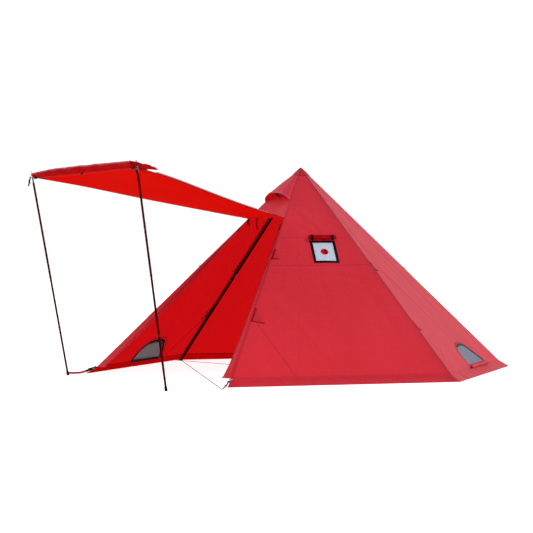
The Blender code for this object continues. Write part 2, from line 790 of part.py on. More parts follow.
# Inner legs: an upper tube on the crown's pin and a lower tube that slides inside it
def innerLeg(name, turn):
    pin = Vector((turn * pinSpread, 0, pinHeight))
    foot = Vector((turn * legSpread, 0, 0))
    fold = carrier(name + "_leg_hinge", pin, tent)
    slide = carrier(name + "_leg_slide", foot, fold)
    frame = alongFrame(pin, foot)
    length = (foot - pin).length
    upper = turned(name + "_upper_leg", frame,
                   tube(upperLegRadius, upperLegRadius - legWall, -legEndPastPin, upperLegLength),
                   fold, "black")
    bore = cutterRod(name + "_leg_bore", alongFrame(pin - Vector((0, 1, 0)), pin),
                     pinRadius + clearance, 1 - 2 * upperLegRadius, 1 + 2 * upperLegRadius, fold)
    combine(upper, bore, "DIFFERENCE")
    end = upperLegLength
    collarInner = upperLegRadius + clearance
    lipInner = lowerLegRadius + clearance
    collarProfile = [(collarInner, end + clearance), (collarInner, end - collarGrip),
                     (collarRadius, end - collarGrip), (collarRadius, end + collarLip),
                     (lipInner, end + collarLip), (lipInner, end + clearance)]
    turned(name + "_leg_collar", frame, collarProfile[::-1], fold, "plastic")
    bottom = length - (bootFloor + clearance)
    turned(name + "_lower_leg", frame,
           tube(lowerLegRadius, lowerLegRadius - legWall, upperLegLength - legOverlap, bottom),
           slide, "black")
    boot = turned(name + "_leg_foot", frame, rod(bootRadius, length - bootLength, length + bootRadius * 2),
                  slide, "rubber")
    pad = cutterRod(name + "_pad", Matrix.Translation(foot), padRadius, -padHeight, padHeight, slide)
    socket = cutterRod(name + "_socket", frame, lowerLegRadius + clearance, length - bootLength * 2,
                       length - bootFloor, slide)
    below = Matrix.Translation(foot - Vector((0, 0, floorCutter / 2)))
    floor = cutterBox(name + "_leg_floor", below, (floorCutter,) * 3, slide)
    combine(boot, pad, "UNION")
    combine(boot, floor, "DIFFERENCE")
    combine(boot, socket, "DIFFERENCE")


innerLeg("right", 1)
innerLeg("left", -1)


# Zip sliders: a body on the door zip and a pull tab, at the top of their travel
def slider(name, turn):
    share = (sliderStart - stripStart) / (doorLength - stripTop)
    top = Vector((*innerTop, 0)) - Vector((zipWidth / 2, 0, 0))
    bottom = Vector((*innerBottom, 0)) - Vector((zipWidth / 2, 0, 0))
    spot = top.lerp(bottom, share)
    spot.x *= turn
    top.x *= turn
    bottom.x *= turn
    lift = Vector((0, 0, zipThickness / 2 + clearance + sliderHeight / 2))
    centre = door @ (spot + lift)
    hinge = carrier(name + "_slider_start", centre, tent)
    ahead = door @ (bottom + lift)
    travel = (ahead - centre).normalized()
    frame = faceFrame(centre, centre + travel.cross(outward(door)) * -1, centre - travel)
    low = -sliderLength / 2
    halfOutline = [(pullWidth / 2, low - pullLength), (sliderNeck / 2, low),
                   (sliderWidth / 2, -low)]
    plate(name + "_zip_slider", frame, [halfOutline + mirrored(halfOutline)], sliderHeight, hinge,
          "plastic")


slider("right", 1)
slider("left", -1)


# A strap with its buckle runs from each door corner of the hem to the ground in front
def cornerStrap(name, corner, peg):
    start = hem[corner] + Vector((0, 0, strapThickness / 2 + halfCloth + seamRoom))
    end = Vector((*peg, strapThickness))
    along = end - start
    sideways = along.cross(Vector((0, 0, 1))).normalized()
    frame = faceFrame(start, end, start - sideways)
    middle = frame @ Matrix.Translation((along.length / 2, 0, 0))
    strap = block(name, middle, (along.length, cornerStrapWidth, strapThickness), tent, "webbing")
    spot = frame @ Matrix.Translation((buckleFromCorner, 0, 0))
    buckle = cutterBox(name + "_buckle", spot, (buckleLength, buckleWidth, buckleThickness), tent)
    combine(strap, buckle, "UNION")


cornerStrap("right_corner_strap", "doorRight", rightPeg)
cornerStrap("left_corner_strap", "doorLeft", leftPeg)


def cord(name, points, radius, finish):
    curve = bpy.data.curves.new(name, "CURVE")
    curve.dimensions = "3D"
    curve.bevel_depth = radius
    curve.bevel_resolution = 2
    curve.use_fill_caps = True
    spline = curve.splines.new("POLY")
    spline.points.add(len(points) - 1)
    for spot, point in zip(spline.points, points):
        spot.co = (*point, 1)
    return place(bpy.data.objects.new(name, curve), Matrix.Identity(4), tent, finish)


# The ground strap lies between the two feet, with its ends under the skirt's corners
strapFromFeet = padRadius + seamRoom + strapWidth / 2
strapEdge = (padRadius + seamRoom + strapWidth) * (cornerRadius - doorHalfWidth) / doorReach
skirtRoom = skirtSpread * (strapThickness + clothThickness) / hemHeight + strapEndRoom
strapReach = cornerRadius + skirtSpread - skirtRoom - strapEdge
strapFrame = Matrix.Translation((0, -strapFromFeet, strapThickness / 2))
plate("foot_strap", strapFrame, [box(2 * strapReach, strapWidth)], strapThickness, tent, "webbing")

# The corner cord runs on the ground from the left foot's strap to the right peg point
cordStart = Vector((cordFromFoot - legSpread,
                    -strapFromFeet - strapWidth / 2 - seamRoom - cordRadius, cordRadius))
cordEnd = Vector((*rightPeg, cordRadius))
cordEnd += (cordStart - cordEnd).normalized() * cordEndRoom
cord("corner_cord", [cordStart.lerp(cordEnd, step / 12) for step in range(13)], cordRadius,
     "brownCord")
pegSpot = Vector((*leftPeg, footCordRadius))
awayFromDoor = (pegSpot - hem["doorLeft"]) * Vector((1, 1, 0))
footCordStart = pegSpot + awayFromDoor.normalized() * footCordRadius
footSpot = Vector((*leftPoleFoot, footCordRadius))
footCordEnd = footSpot + (footCordStart - footSpot).normalized() * (footRadius + footCordRadius)
cord("left_corner_cord", [footCordStart.lerp(footCordEnd, step / 4) for step in range(5)],
     footCordRadius, "redPlastic")

for piece in collection.objects:
    if piece.type == "MESH":
        piece.data.shade_smooth()
        piece.data.set_sharp_from_angle(angle=0.6)
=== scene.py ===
from math import atan2, cos, exp, hypot, pi, radians, sin

import bpy
from mathutils import Matrix, Vector, noise


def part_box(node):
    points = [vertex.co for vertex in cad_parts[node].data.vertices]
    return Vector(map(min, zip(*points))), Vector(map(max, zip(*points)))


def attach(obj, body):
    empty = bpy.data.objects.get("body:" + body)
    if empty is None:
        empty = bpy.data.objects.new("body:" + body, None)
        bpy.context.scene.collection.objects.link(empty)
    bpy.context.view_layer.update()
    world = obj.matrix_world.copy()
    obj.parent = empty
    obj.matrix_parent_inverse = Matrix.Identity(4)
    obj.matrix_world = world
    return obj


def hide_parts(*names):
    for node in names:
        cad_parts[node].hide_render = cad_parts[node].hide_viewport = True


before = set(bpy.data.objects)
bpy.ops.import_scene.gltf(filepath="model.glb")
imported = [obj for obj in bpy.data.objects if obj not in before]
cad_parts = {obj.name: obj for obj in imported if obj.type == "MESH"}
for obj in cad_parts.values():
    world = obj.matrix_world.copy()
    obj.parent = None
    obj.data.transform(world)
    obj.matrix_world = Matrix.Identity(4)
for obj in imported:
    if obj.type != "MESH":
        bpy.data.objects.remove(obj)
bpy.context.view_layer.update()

# The pitched tent: a six-sided pyramid whose door faces -Y. Lengths are in metres.
tent = {
    "cornerReach": 2.0, "doorHalf": 1.056, "doorReach": 1.740, "apexHeight": 2.017,
    "hemHeight": 0.063, "skirtSpread": 0.107, "forward": 0.402955, "crown": 0.05,
    "root": 0.685, "rootRoom": 0.0008, "cloth": 0.0008,
}
apex = Vector((0, tent["forward"], tent["apexHeight"]))
plan = {
    "doorLeft": (-tent["doorHalf"], -tent["doorReach"]),
    "doorRight": (tent["doorHalf"], -tent["doorReach"]),
    "right": (tent["cornerReach"], 0), "backRight": (tent["doorHalf"], tent["doorReach"]),
    "backLeft": (-tent["doorHalf"], tent["doorReach"]), "left": (-tent["cornerReach"], 0)}
skirtShare = 1 + tent["skirtSpread"] / tent["cornerReach"]
hem = {name: Vector((x, y + tent["forward"], tent["hemHeight"])) for name, (x, y) in plan.items()}
ground = {name: Vector((x * skirtShare, y * skirtShare + tent["forward"], 0))
          for name, (x, y) in plan.items()}
sides = {
    "door": ("doorLeft", "doorRight"), "right_front": ("doorRight", "right"),
    "right_back": ("right", "backRight"), "back": ("backRight", "backLeft"),
    "left_back": ("backLeft", "left"), "left_front": ("left", "doorLeft")}


# A frame on a flat face: x to the right as seen from outside, y up the slope, z outward
def faceFrame(origin, toRight, toTop):
    across = (toRight - origin).normalized()
    outward = across.cross(toTop - origin).normalized()
    upward = outward.cross(across)
    made = Matrix((across, upward, outward)).transposed().to_4x4()
    made.translation = origin
    return made


walls = {}
for side, (left, right) in sides.items():
    walls[side] = faceFrame(hem[left], hem[right], apex)
    walls[side].translation = apex
slope = {side: -(walls[side].inverted() @ hem[sides[side][0]]).y for side in sides}
edges = {side: tuple((walls[side].inverted() @ hem[corner]).x for corner in sides[side])
         for side in sides}
# each wall's own directions: along the hem, up the slope and outward
alongHem, upSlope, outOf = ({side: walls[side].to_3x3().col[axis].copy() for side in sides}
                            for axis in range(3))


# Where a ridge lies on its wall, this far down from the apex
def ridgeAt(side, end, down):
    return edges[side][end] * down / slope[side]


def smooth(value):
    value = min(1.0, max(0.0, value))
    return value * value * (3 - 2 * value)


def wave(x, y, seed):
    return noise.noise(Vector((x, y, seed)))


# How the walls lie: pulled in a little between the ridges, with soft folds that run down the
# slope, short pulls at the hem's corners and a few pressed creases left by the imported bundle
drape = {"sag": 0.004, "broad": 0.0045, "narrow": 0.0016, "corner": 0.0035, "cornerReach": 0.34,
         "crease": 0.65}
creases = {   # from (side, down) to (side, down), depth, width
    "right_front": [((-0.226, 0.703), (-0.031, 0.952), -0.004, 0.016),
                    ((-0.60, 1.55), (-0.12, 2.45), 0.005, 0.030),
                    ((0.30, 1.42), (0.62, 2.35), -0.004, 0.035),
                    ((-0.26, 1.36), (0.44, 1.44), 0.003, 0.020),
                    ((-0.18, 0.45), (0.16, 1.02), 0.003, 0.025)],
    "right_back": [((-0.35, 1.10), (0.05, 2.30), 0.006, 0.040),
                   ((0.10, 0.80), (0.35, 2.10), -0.005, 0.045),
                   ((-0.15, 0.50), (-0.45, 1.90), -0.004, 0.030)],
    "left_front": [((0.45, 1.40), (-0.25, 2.52), -0.006, 0.022),
                   ((0.25, 0.95), (0.62, 2.45), 0.006, 0.035),
                   ((-0.10, 0.80), (-0.30, 1.90), 0.005, 0.040)],
    "back": [((-0.20, 0.90), (-0.55, 2.40), 0.006, 0.040),
             ((0.25, 0.70), (0.40, 2.30), -0.005, 0.040)],
    "left_back": [((-0.30, 0.80), (-0.05, 2.40), 0.006, 0.045),
                  ((0.30, 1.0), (0.20, 2.3), -0.005, 0.035)],
    "door": [],
}
wallSeeds = {side: 3.7 + 11.3 * index for index, side in enumerate(sides)}


def creaseLift(spots, x, down):
    lift = 0.0
    for (x0, d0), (x1, d1), depth, width in spots:
        alongX, alongD = x1 - x0, d1 - d0
        length = hypot(alongX, alongD)
        share = ((x - x0) * alongX + (down - d0) * alongD) / length ** 2
        offset = ((x - x0) * alongD - (down - d0) * alongX) / length
        offset += 0.012 * sin(7 * share)
        fade = smooth(share / 0.2) * smooth((1 - share) / 0.2)
        lift += depth * fade * exp(-(offset / width) ** 2)
    return lift


def wallLift(side, x, down):
    left, right = edges[side]
    share = down / slope[side]
    u = (x - left * share) / max((right - left) * share, 0.0001)
    free = smooth(min(u, 1 - u) / 0.14) * smooth((1 - share) / 0.05)
    if side == "door":
        free *= smooth((tent["root"] - down) / 0.08)
    lift = -drape["sag"] * 4 * u * (1 - u) * smooth(share / 0.4)
    seed = wallSeeds[side]
    lift += free * drape["broad"] * wave(x * 3.2, down * 0.9, seed)
    lift += free * drape["narrow"] * wave(x * 11, down * 3.2, seed + 5)
    lift += free * drape["crease"] * creaseLift(creases[side], x, down)
    for cornerX in edges[side]:
        dx, dy = x - cornerX, slope[side] - down
        reach = hypot(dx, dy)
        pull = exp(-(reach / drape["cornerReach"]) ** 2)
        lift += free * drape["corner"] * pull * sin(atan2(dy, abs(dx)) * 22)
    return lift


# A place on a wall: x along the hem, down the slope from the apex, and above the cloth
def onWall(side, x, down, above=0.0):
    return walls[side] @ Vector((x, -down, wallLift(side, x, down) + above))


print("frame read, walls laid out")


# Small helpers for the mesh work
def deselect():
    bpy.ops.object.select_all(action="DESELECT")


def activate(piece):
    deselect()
    piece.select_set(True)
    bpy.context.view_layer.objects.active = piece


def named(name):
    piece = bpy.context.object
    piece.name = piece.data.name = name
    return piece


def shares(count):
    return [step / count for step in range(count + 1)]


def circle(radius, count, x=0.0, y=0.0):
    angles = [2 * pi * step / count for step in range(count)]
    return [(x + radius * cos(angle), y + radius * sin(angle)) for angle in angles]


def gridSheet(name, rows, columns, point, cut):
    deselect()
    bpy.ops.mesh.primitive_grid_add(x_subdivisions=columns, y_subdivisions=rows, size=2)
    piece = named(name)
    for vert in piece.data.vertices:
        vert.co = point((vert.co.x + 1) / 2, (vert.co.y + 1) / 2)
    for corner in piece.data.uv_layers[0].data:   # the map is in metres, for the weave
        corner.uv = (corner.uv[0] * cut[0], corner.uv[1] * cut[1])
    return piece


def joined(name, pieces):
    activate(pieces[0])
    for piece in pieces:
        piece.select_set(True)
    bpy.ops.object.join()
    return named(name)


def mergeDoubles(piece, distance=0.0001):
    activate(piece)
    bpy.ops.object.mode_set(mode="EDIT")
    bpy.ops.mesh.select_all(action="SELECT")
    bpy.ops.mesh.remove_doubles(threshold=distance)
    bpy.ops.object.mode_set(mode="OBJECT")


def applied(piece, kind, **settings):
    activate(piece)
    step = piece.modifiers.new(kind.lower(), kind)
    for key, value in settings.items():
        setattr(step, key, value)
    bpy.ops.object.modifier_apply(modifier=step.name)
    return piece


# Gives cloth its thickness. Its outer face takes the first material, its inner face the second.
def thicken(piece, thickness=tent["cloth"]):
    while len(piece.data.materials) < 2:
        piece.data.materials.append(None)
    return applied(piece, "SOLIDIFY", thickness=thickness, offset=0, material_offset=1,
                   use_even_offset=True)


# A block centred on the origin
def block(name, size):
    deselect()
    bpy.ops.mesh.primitive_cube_add(size=1)
    piece = named(name)
    piece.data.transform(Matrix.Diagonal((*size, 1)))
    return piece


# A flat outline with thickness, drawn in a frame
def outlinePlate(name, points, where, low, high):
    deselect()
    bpy.ops.mesh.primitive_circle_add(vertices=len(points), radius=1, fill_type="NGON")
    piece = named(name)
    for vert, (x, y) in zip(piece.data.vertices, points):
        vert.co = (x, y, low)
    bpy.ops.object.mode_set(mode="EDIT")
    bpy.ops.mesh.select_all(action="SELECT")
    bpy.ops.mesh.extrude_region_move(TRANSFORM_OT_translate={"value": (0, 0, high - low)})
    bpy.ops.mesh.select_all(action="SELECT")
    bpy.ops.mesh.normals_make_consistent(inside=False)
    bpy.ops.object.mode_set(mode="OBJECT")
    piece.data.transform(where)
    return piece


def cutAway(piece, cutter):
    applied(piece, "BOOLEAN", object=cutter, operation="DIFFERENCE", solver="EXACT")
    bpy.data.objects.remove(cutter)


# An outline with each corner cut off by a curve that starts and ends at a distance from it
def rounded(points, distances):
    made = []
    for index, (spot, distance) in enumerate(zip(points, distances)):
        corner = Vector(spot)
        back = Vector(points[index - 1]) - corner
        ahead = Vector(points[(index + 1) % len(points)]) - corner
        start = corner + back.normalized() * min(distance, 0.48 * back.length)
        end = corner + ahead.normalized() * min(distance, 0.48 * ahead.length)
        for share in shares(6):
            made.append(tuple(start.lerp(corner, share).lerp(corner.lerp(end, share), share)))
    return made


# The same outline with its sides moved out by a distance
def grown(points, distance):
    made = []
    for index, spot in enumerate(points):
        here = Vector(spot)
        before = (here - Vector(points[index - 1])).normalized()
        after = (Vector(points[(index + 1) % len(points)]) - here).normalized()
        away, onward = Vector((before.y, -before.x)), Vector((after.y, -after.x))
        made.append(here + (away + onward) * distance / (1 + away.dot(onward)))
    return made


def outlineArea(points):
    pairs = zip(points, points[1:] + points[:1])
    return abs(sum(a[0] * b[1] - b[0] * a[1] for a, b in pairs)) / 2


def evenly(points, spacing, closed):
    line = [Vector(p) for p in points] + ([Vector(points[0])] if closed else [])
    lengths = [(b - a).length for a, b in zip(line, line[1:])]
    total = sum(lengths)
    count = max(2, round(total / spacing))
    made, index, passed = [], 0, 0.0
    for step in range(count + (0 if closed else 1)):
        target = total * step / count
        while index < len(lengths) - 1 and passed + lengths[index] < target:
            passed += lengths[index]
            index += 1
        share = (target - passed) / max(lengths[index], 1e-9)
        made.append(line[index].lerp(line[index + 1], share))
    return made


# A tape or strap along a line of points
def ribbon(name, points, normals, width, thickness, closed=False):
    count = len(points)
    steps = count if closed else count - 1

    def spot(u, v):
        index = round(v * steps) % count
        before = points[index - 1] if closed or index else points[0]
        after = points[(index + 1) % count] if closed or index < count - 1 else points[-1]
        normal = normals[index] if isinstance(normals, list) else normals
        return points[index] + (after - before).cross(normal).normalized() * (u - 0.5) * width

    length = sum((b - a).length for a, b in zip(points, points[1:]))
    piece = gridSheet(name, steps, 2, spot, (width, length))
    if closed:
        mergeDoubles(piece, 0.00005)
    return applied(piece, "SOLIDIFY", thickness=thickness, offset=0)


def wallTape(name, side, spots, width, thickness, above, closed=False, spacing=0.03):
    flat = evenly([(x, down, 0) for x, down in spots], spacing, closed)
    points = [onWall(side, spot.x, spot.y, above) for spot in flat]
    return ribbon(name, points, outOf[side], width, thickness, closed)


# The same along an outline, whose points have y up the slope
def outlineTape(name, side, outline, width, thickness, above, spacing=0.012, closed=True):
    return wallTape(name, side, [(x, -y) for x, y in outline], width, thickness, above, closed,
                    spacing)


def tubeAlong(name, points, radius, closed=False):
    curve = bpy.data.curves.new(name, "CURVE")
    curve.dimensions = "3D"
    curve.bevel_depth = radius
    curve.bevel_resolution = 1
    curve.use_fill_caps = not closed
    line = curve.splines.new("POLY")
    line.points.add(len(points) - 1)
    line.use_cyclic_u = closed
    for spot, point in zip(line.points, points):
        spot.co = (*point, 1)
    piece = bpy.data.objects.new(name, curve)
    bpy.context.collection.objects.link(piece)
    activate(piece)
    bpy.ops.object.convert(target="MESH")
    piece = bpy.context.object
    mergeDoubles(piece)
    return piece


# Materials. Colours are sRGB hex values.
def linear(code):
    parts = [int(code[i:i + 2], 16) / 255 for i in (1, 3, 5)]
    return tuple(p / 12.92 if p <= 0.04045 else ((p + 0.055) / 1.055) ** 2.4 for p in parts) + (1,)


# Adds a node with its settings and links. A ramp takes its ends as places and hex colours.
def addNode(tree, kind, settings=None, links=None):
    made = tree.nodes.new("ShaderNode" + kind)
    for key, value in (settings or {}).items():
        if key == "ramp":
            for end, (place, code) in zip(made.color_ramp.elements, value):
                end.position, end.color = place, linear(code)
        elif isinstance(key, str) and hasattr(made, key):
            setattr(made, key, value)
        else:
            made.inputs[key].default_value = value
    for key, source in (links or {}).items():
        socket = source if isinstance(source, bpy.types.NodeSocket) else source.outputs[0]
        tree.links.new(socket, made.inputs[key])
    return made


def newMaterial(name):
    made = bpy.data.materials.new(name)
    made.use_nodes = True
    made.node_tree.nodes.clear()
    return made, made.node_tree


# Two crossed sets of threads, as a height from 0 to 1
def crossedThreads(tree, place, ways, scale):
    threads = [addNode(tree, "TexWave", {"wave_type": "BANDS", "bands_direction": way,
                                         "Scale": scale}, {"Vector": place}).outputs["Fac"]
               for way in ways]
    return addNode(tree, "Math", {"operation": "MAXIMUM"}, {0: threads[0], 1: threads[1]})


# Coated polyester taffeta, woven and then waterproofed: a close plain weave with a dull sheen.
# The threads lie 0.3 mm apart, too fine to show from here, so they are drawn 1.2 mm apart.
# Over them come the small crumples of cloth that was packed in a bag, 15 to 60 mm across.
def polyester(name, face, shade, glow, glowShare, crumple=0.35, roughness=0.5, sheen=0.25,
              gloss=0.2):
    made, tree = newMaterial(name)
    place = addNode(tree, "TexCoord").outputs
    spot = {"Vector": place["Object"]}
    broad = addNode(tree, "TexNoise", {"Scale": 1.3, "Detail": 3.0, "Roughness": 0.55}, spot)
    tint = addNode(tree, "ValToRGB", {"ramp": ((0.35, shade), (0.65, face))}, {"Fac": broad})
    crumples = addNode(tree, "TexNoise", {"Scale": 22.0, "Detail": 4.0, "Roughness": 0.6,
                                          "Distortion": 0.6}, spot)
    folds = addNode(tree, "TexVoronoi", {"feature": "DISTANCE_TO_EDGE", "Scale": 5.0,
                                         "Randomness": 1.0}, spot)
    foldEdge = addNode(tree, "MapRange", {"From Max": 0.10}, {"Value": folds})
    weave = crossedThreads(tree, place["UV"], ("X", "Y"), 260.0)
    weaveBump = addNode(tree, "Bump", {"Strength": 0.08, "Distance": 0.0002}, {"Height": weave})
    foldBump = addNode(tree, "Bump", {"Strength": crumple * 0.4, "Distance": 0.004},
                       {"Height": foldEdge, "Normal": weaveBump})
    crumpleBump = addNode(tree, "Bump", {"Strength": crumple, "Distance": 0.006},
                          {"Height": crumples, "Normal": foldBump})
    rough = addNode(tree, "MapRange", {"To Min": roughness - 0.06, "To Max": roughness + 0.08},
                    {"Value": crumples})
    cloth = addNode(tree, "BsdfPrincipled", {"IOR": 1.5, "Specular IOR Level": gloss,
                                             "Sheen Weight": sheen, "Sheen Roughness": 0.45,
                                             "Sheen Tint": (1, 0.72, 0.86, 1)},
                    {"Base Color": tint, "Roughness": rough, "Normal": crumpleBump})
    through = addNode(tree, "BsdfTranslucent", {"Color": linear(glow)}, {"Normal": crumpleBump})
    mixed = addNode(tree, "MixShader", {0: glowShare}, {1: cloth, 2: through})
    addNode(tree, "OutputMaterial", None, {"Surface": mixed})
    return made


# A plain finish with a fine grain, in mm: colour, roughness and bump all vary a little
def plainFinish(name, face, shade, roughness, metallic, grain, bump, stretch=(1, 1, 1), gloss=0.5):
    made, tree = newMaterial(name)
    place = addNode(tree, "TexCoord").outputs["Object"]
    spread = addNode(tree, "Mapping", {"Scale": stretch}, {"Vector": place})
    specks = addNode(tree, "TexNoise", {"Scale": 1000 / grain / 4, "Detail": 3.0},
                     {"Vector": spread})
    tint = addNode(tree, "ValToRGB", {"ramp": ((0.3, shade), (0.7, face))}, {"Fac": specks})
    rough = addNode(tree, "MapRange", {"To Min": max(0.05, roughness - 0.08),
                                       "To Max": roughness + 0.08}, {"Value": specks})
    dents = addNode(tree, "Bump", {"Strength": bump, "Distance": 0.0003}, {"Height": specks})
    solid = addNode(tree, "BsdfPrincipled", {"Metallic": metallic, "Specular IOR Level": gloss},
                    {"Base Color": tint, "Roughness": rough, "Normal": dents})
    addNode(tree, "OutputMaterial", None, {"Surface": solid})
    return made


# Woven tape and webbing: ribs across the tape every few millimetres, on its own map in metres.
# A wave texture at scale 1 repeats every 0.314 m.
def wovenTape(name, face, shade, ribs, roughness=0.75, bump=0.5, sheen=0.2):
    made, tree = newMaterial(name)
    rib = addNode(tree, "TexWave", {"wave_type": "BANDS", "bands_direction": "Y",
                                    "Scale": 0.314 * 1000 / ribs, "Distortion": 0.4},
                  {"Vector": addNode(tree, "TexCoord").outputs["UV"]}).outputs["Fac"]
    tint = addNode(tree, "ValToRGB", {"ramp": ((0, shade), (1, face))}, {"Fac": rib})
    raised = addNode(tree, "Bump", {"Strength": bump, "Distance": 0.0006}, {"Height": rib})
    tape = addNode(tree, "BsdfPrincipled", {"Roughness": roughness, "Sheen Weight": sheen,
                                            "Specular IOR Level": 0.02},
                   {"Base Color": tint, "Normal": raised})
    addNode(tree, "OutputMaterial", None, {"Surface": tape})
    return made


# Knitted insect net: fine grey threads that let half of the light through. The holes are
# 1.3 mm in the real net and drawn 4 mm apart here so that they show.
def insectNet(name):
    made, tree = newMaterial(name)
    place = addNode(tree, "TexCoord").outputs["Object"]
    thread = crossedThreads(tree, place, ("X", "Z"), 78.0)
    cover = addNode(tree, "MapRange", {"From Min": 0.55, "From Max": 0.85, "To Min": 0.82},
                    {"Value": thread})
    tint = addNode(tree, "ValToRGB", {"ramp": ((0, "#9298b8"), (1, "#b0b6d4"))}, {"Fac": thread})
    net = addNode(tree, "BsdfPrincipled", {"Roughness": 0.7, "Sheen Weight": 0.9,
                                           "Sheen Tint": (0.85, 0.88, 1, 1)}, {"Base Color": tint})
    through = addNode(tree, "BsdfTranslucent", {"Color": linear("#80a8a4")})
    mixed = addNode(tree, "MixShader", {0: 0.45}, {1: net, 2: through})
    holes = addNode(tree, "BsdfTransparent")
    woven = addNode(tree, "MixShader", None, {0: cover, 1: holes, 2: mixed})
    addNode(tree, "OutputMaterial", None, {"Surface": woven})
    return made


finishes = {
    "wallCloth": polyester("redCoatedPolyester", "#dc3048", "#d42a42", "#ff5a60", 0.44, sheen=0.7),
    # the cloth's inner face: a more saturated copy of the wall cloth without sheen that lets
    # through more light than the outer face, a painted glow for the lit inside
    "wallInsidePaintedGlow": polyester("redPolyesterInsidePaintedGlow", "#d03038", "#c82830", "#ea505a", 0.76,
                            roughness=0.7, sheen=0.0, gloss=0.02),
    "awningCloth": polyester("awningPolyesterTop", "#d82834", "#ce2230", "#ff3c34", 0.55),
    # the awning's underside: an orange-red copy of the awning cloth without sheen that lets more
    # light through, a painted glow where the sun shines down through it
    "awningUnderPaintedGlow": polyester("awningPolyesterUnderPaintedGlow", "#d02c20", "#c82418", "#e6483a", 0.72,
                             roughness=0.7, sheen=0.0, gloss=0.02),
    "skirtCloth": polyester("skirtPolyester", "#cc283c", "#c42236", "#f01c28", 0.3, 0.5),
    "doubledCloth": polyester("doubledPolyester", "#d0283e", "#c62238", "#ff2c38", 0.35, 0.5,
                              sheen=0.12),
    # a brighter, pinker copy of the wall cloth: painted light for the lit hood, the vent covers
    # and the rain flap's outside
    "paintedLitCloth": polyester("paintedLitPolyester", "#f23c5c", "#e83654", "#ff4c62", 0.42, 0.4, sheen=0.5),
    # a darker, more saturated copy of the awning cloth: the doubled hem lets less light through,
    # and the rest of its dark red is painted shade
    "paintedShadeBrimCloth": polyester("paintedShadeAwningHemPolyester", "#cc0c20", "#b80a1a", "#f00a18", 0.42, 0.6,
                           sheen=0.0, gloss=0.03),
    "seamCloth": polyester("seamPolyester", "#da2e46", "#d22840", "#ff4850", 0.40, 0.3, sheen=0.6),
    # the seams seen from inside: the doubled cloth lets less light through, and their dark red is
    # painted shade
    "shadedSeamInside": polyester("shadedSeamInsidePolyester", "#90060e", "#80040a", "#c00810", 0.15, 0.3,
                            roughness=0.7, sheen=0.0, gloss=0.05),
    # dark red for the ridge tabs' edge bands and loops and the red tie-back loop; on the edge
    # bands it is partly stitching, partly painted shadow under the raised tab
    "darkRedEdgeAndShade": polyester("darkRedEdgeAndShadePolyester", "#c00c22", "#a00818", "#d80814", 0.1, 0.5,
                         sheen=0.0, gloss=0.02),
    "patchCloth": polyester("patchPolyester", "#a81024", "#8a0818", "#e01018", 0.2, 0.6,
                            sheen=0.05, gloss=0.05),
    # turned hems: the hems are real, their pale pink is a painted highlight along edges that catch
    # the light
    "paintedHighlightTurnedEdge": polyester("paintedHighlightTurnedHemPolyester", "#e05872", "#d44c66", "#ff5a60", 0.3, 0.5,
                            sheen=0.8),
    "net": insectNet("greyInsectNet"),
    # anodised aluminium tube, drawn and dyed dark red: lengthwise lines, drawn without its satin
    # gloss
    "poleTube": plainFinish("maroonAnodisedAluminium", "#5e0806", "#4c0604", 0.6, 0.0, 0.5, 0.04,
                            (1, 1, 0.04), 0.0),
    "poleRing": plainFinish("redAnodisedRing", "#a81216", "#8c0c10", 0.5, 0.1, 0.5, 0.05,
                            gloss=0.1),
    "poleRubber": plainFinish("darkRedRubber", "#62100c", "#4a0a08", 0.85, 0.0, 1.5, 0.25,
                              gloss=0.0),
    "darkSteel": plainFinish("blackenedSteel", "#7c7f86", "#54575e", 0.45, 0.6, 0.7, 0.08),
    # powder-coated steel tube: a black skin with a fine orange peel
    "legTube": plainFinish("blackPowderCoat", "#070506", "#030203", 0.8, 0.0, 0.8, 0.12,
                           gloss=0.0),
    "rubber": plainFinish("blackRubber", "#141415", "#0c0c0d", 0.8, 0.0, 1.5, 0.25, gloss=0.3),
    "acetal": plainFinish("blackAcetal", "#131316", "#0a0a0c", 0.45, 0.0, 1.0, 0.10, gloss=0.3),
    "zincSteel": plainFinish("zincPlatedSteel", "#b9bcc2", "#8e9299", 0.36, 0.95, 0.7, 0.08),
    "fireproof": plainFinish("siliconeGlassCloth", "#d8e3f6", "#c2d0e8", 0.55, 0.0, 2.0, 0.5),
    "blackWebbing": wovenTape("blackWebbing", "#1a1424", "#100c18", 1.6, sheen=0.0),
    "zipTape": wovenTape("blackZipTape", "#0c0a0e", "#060508", 1.2, sheen=0.0),
    "zipCoil": wovenTape("nylonZipCoil", "#2a2a30", "#060608", 3.0, 0.45, 1.0),
    "redWebbing": wovenTape("redWebbing", "#c0182a", "#8e0e1c", 1.6),
    "greyWebbing": wovenTape("greyWebbing", "#8d8f94", "#64666c", 1.8),
    "paleThread": wovenTape("palePolyesterThread", "#dfe6f0", "#c4cedd", 3.0),
    "brownCord": wovenTape("brownBraidedCord", "#281412", "#180c0c", 2.4, 0.8, 0.8),
    "redCord": wovenTape("redBraidedCord", "#e01420", "#b80a14", 2.4, 0.8, 0.3, sheen=0.3),
    "paleWebbing": wovenTape("paleGreyWebbing", "#a4b0c4", "#8490a4", 1.8),
}


# Gives a piece its finishes and body, and the source's nodes that it stands for
def dress(piece, finish, body="tent", nodes=(), inside=None, angle=35):
    while len(piece.data.materials) < 2:
        piece.data.materials.append(None)
    piece.data.materials[0] = finishes[finish]
    piece.data.materials[1] = finishes[inside or finish]
    activate(piece)
    bpy.ops.object.shade_smooth_by_angle(angle=radians(angle))
    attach(piece, body)
    if nodes:
        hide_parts(*nodes)


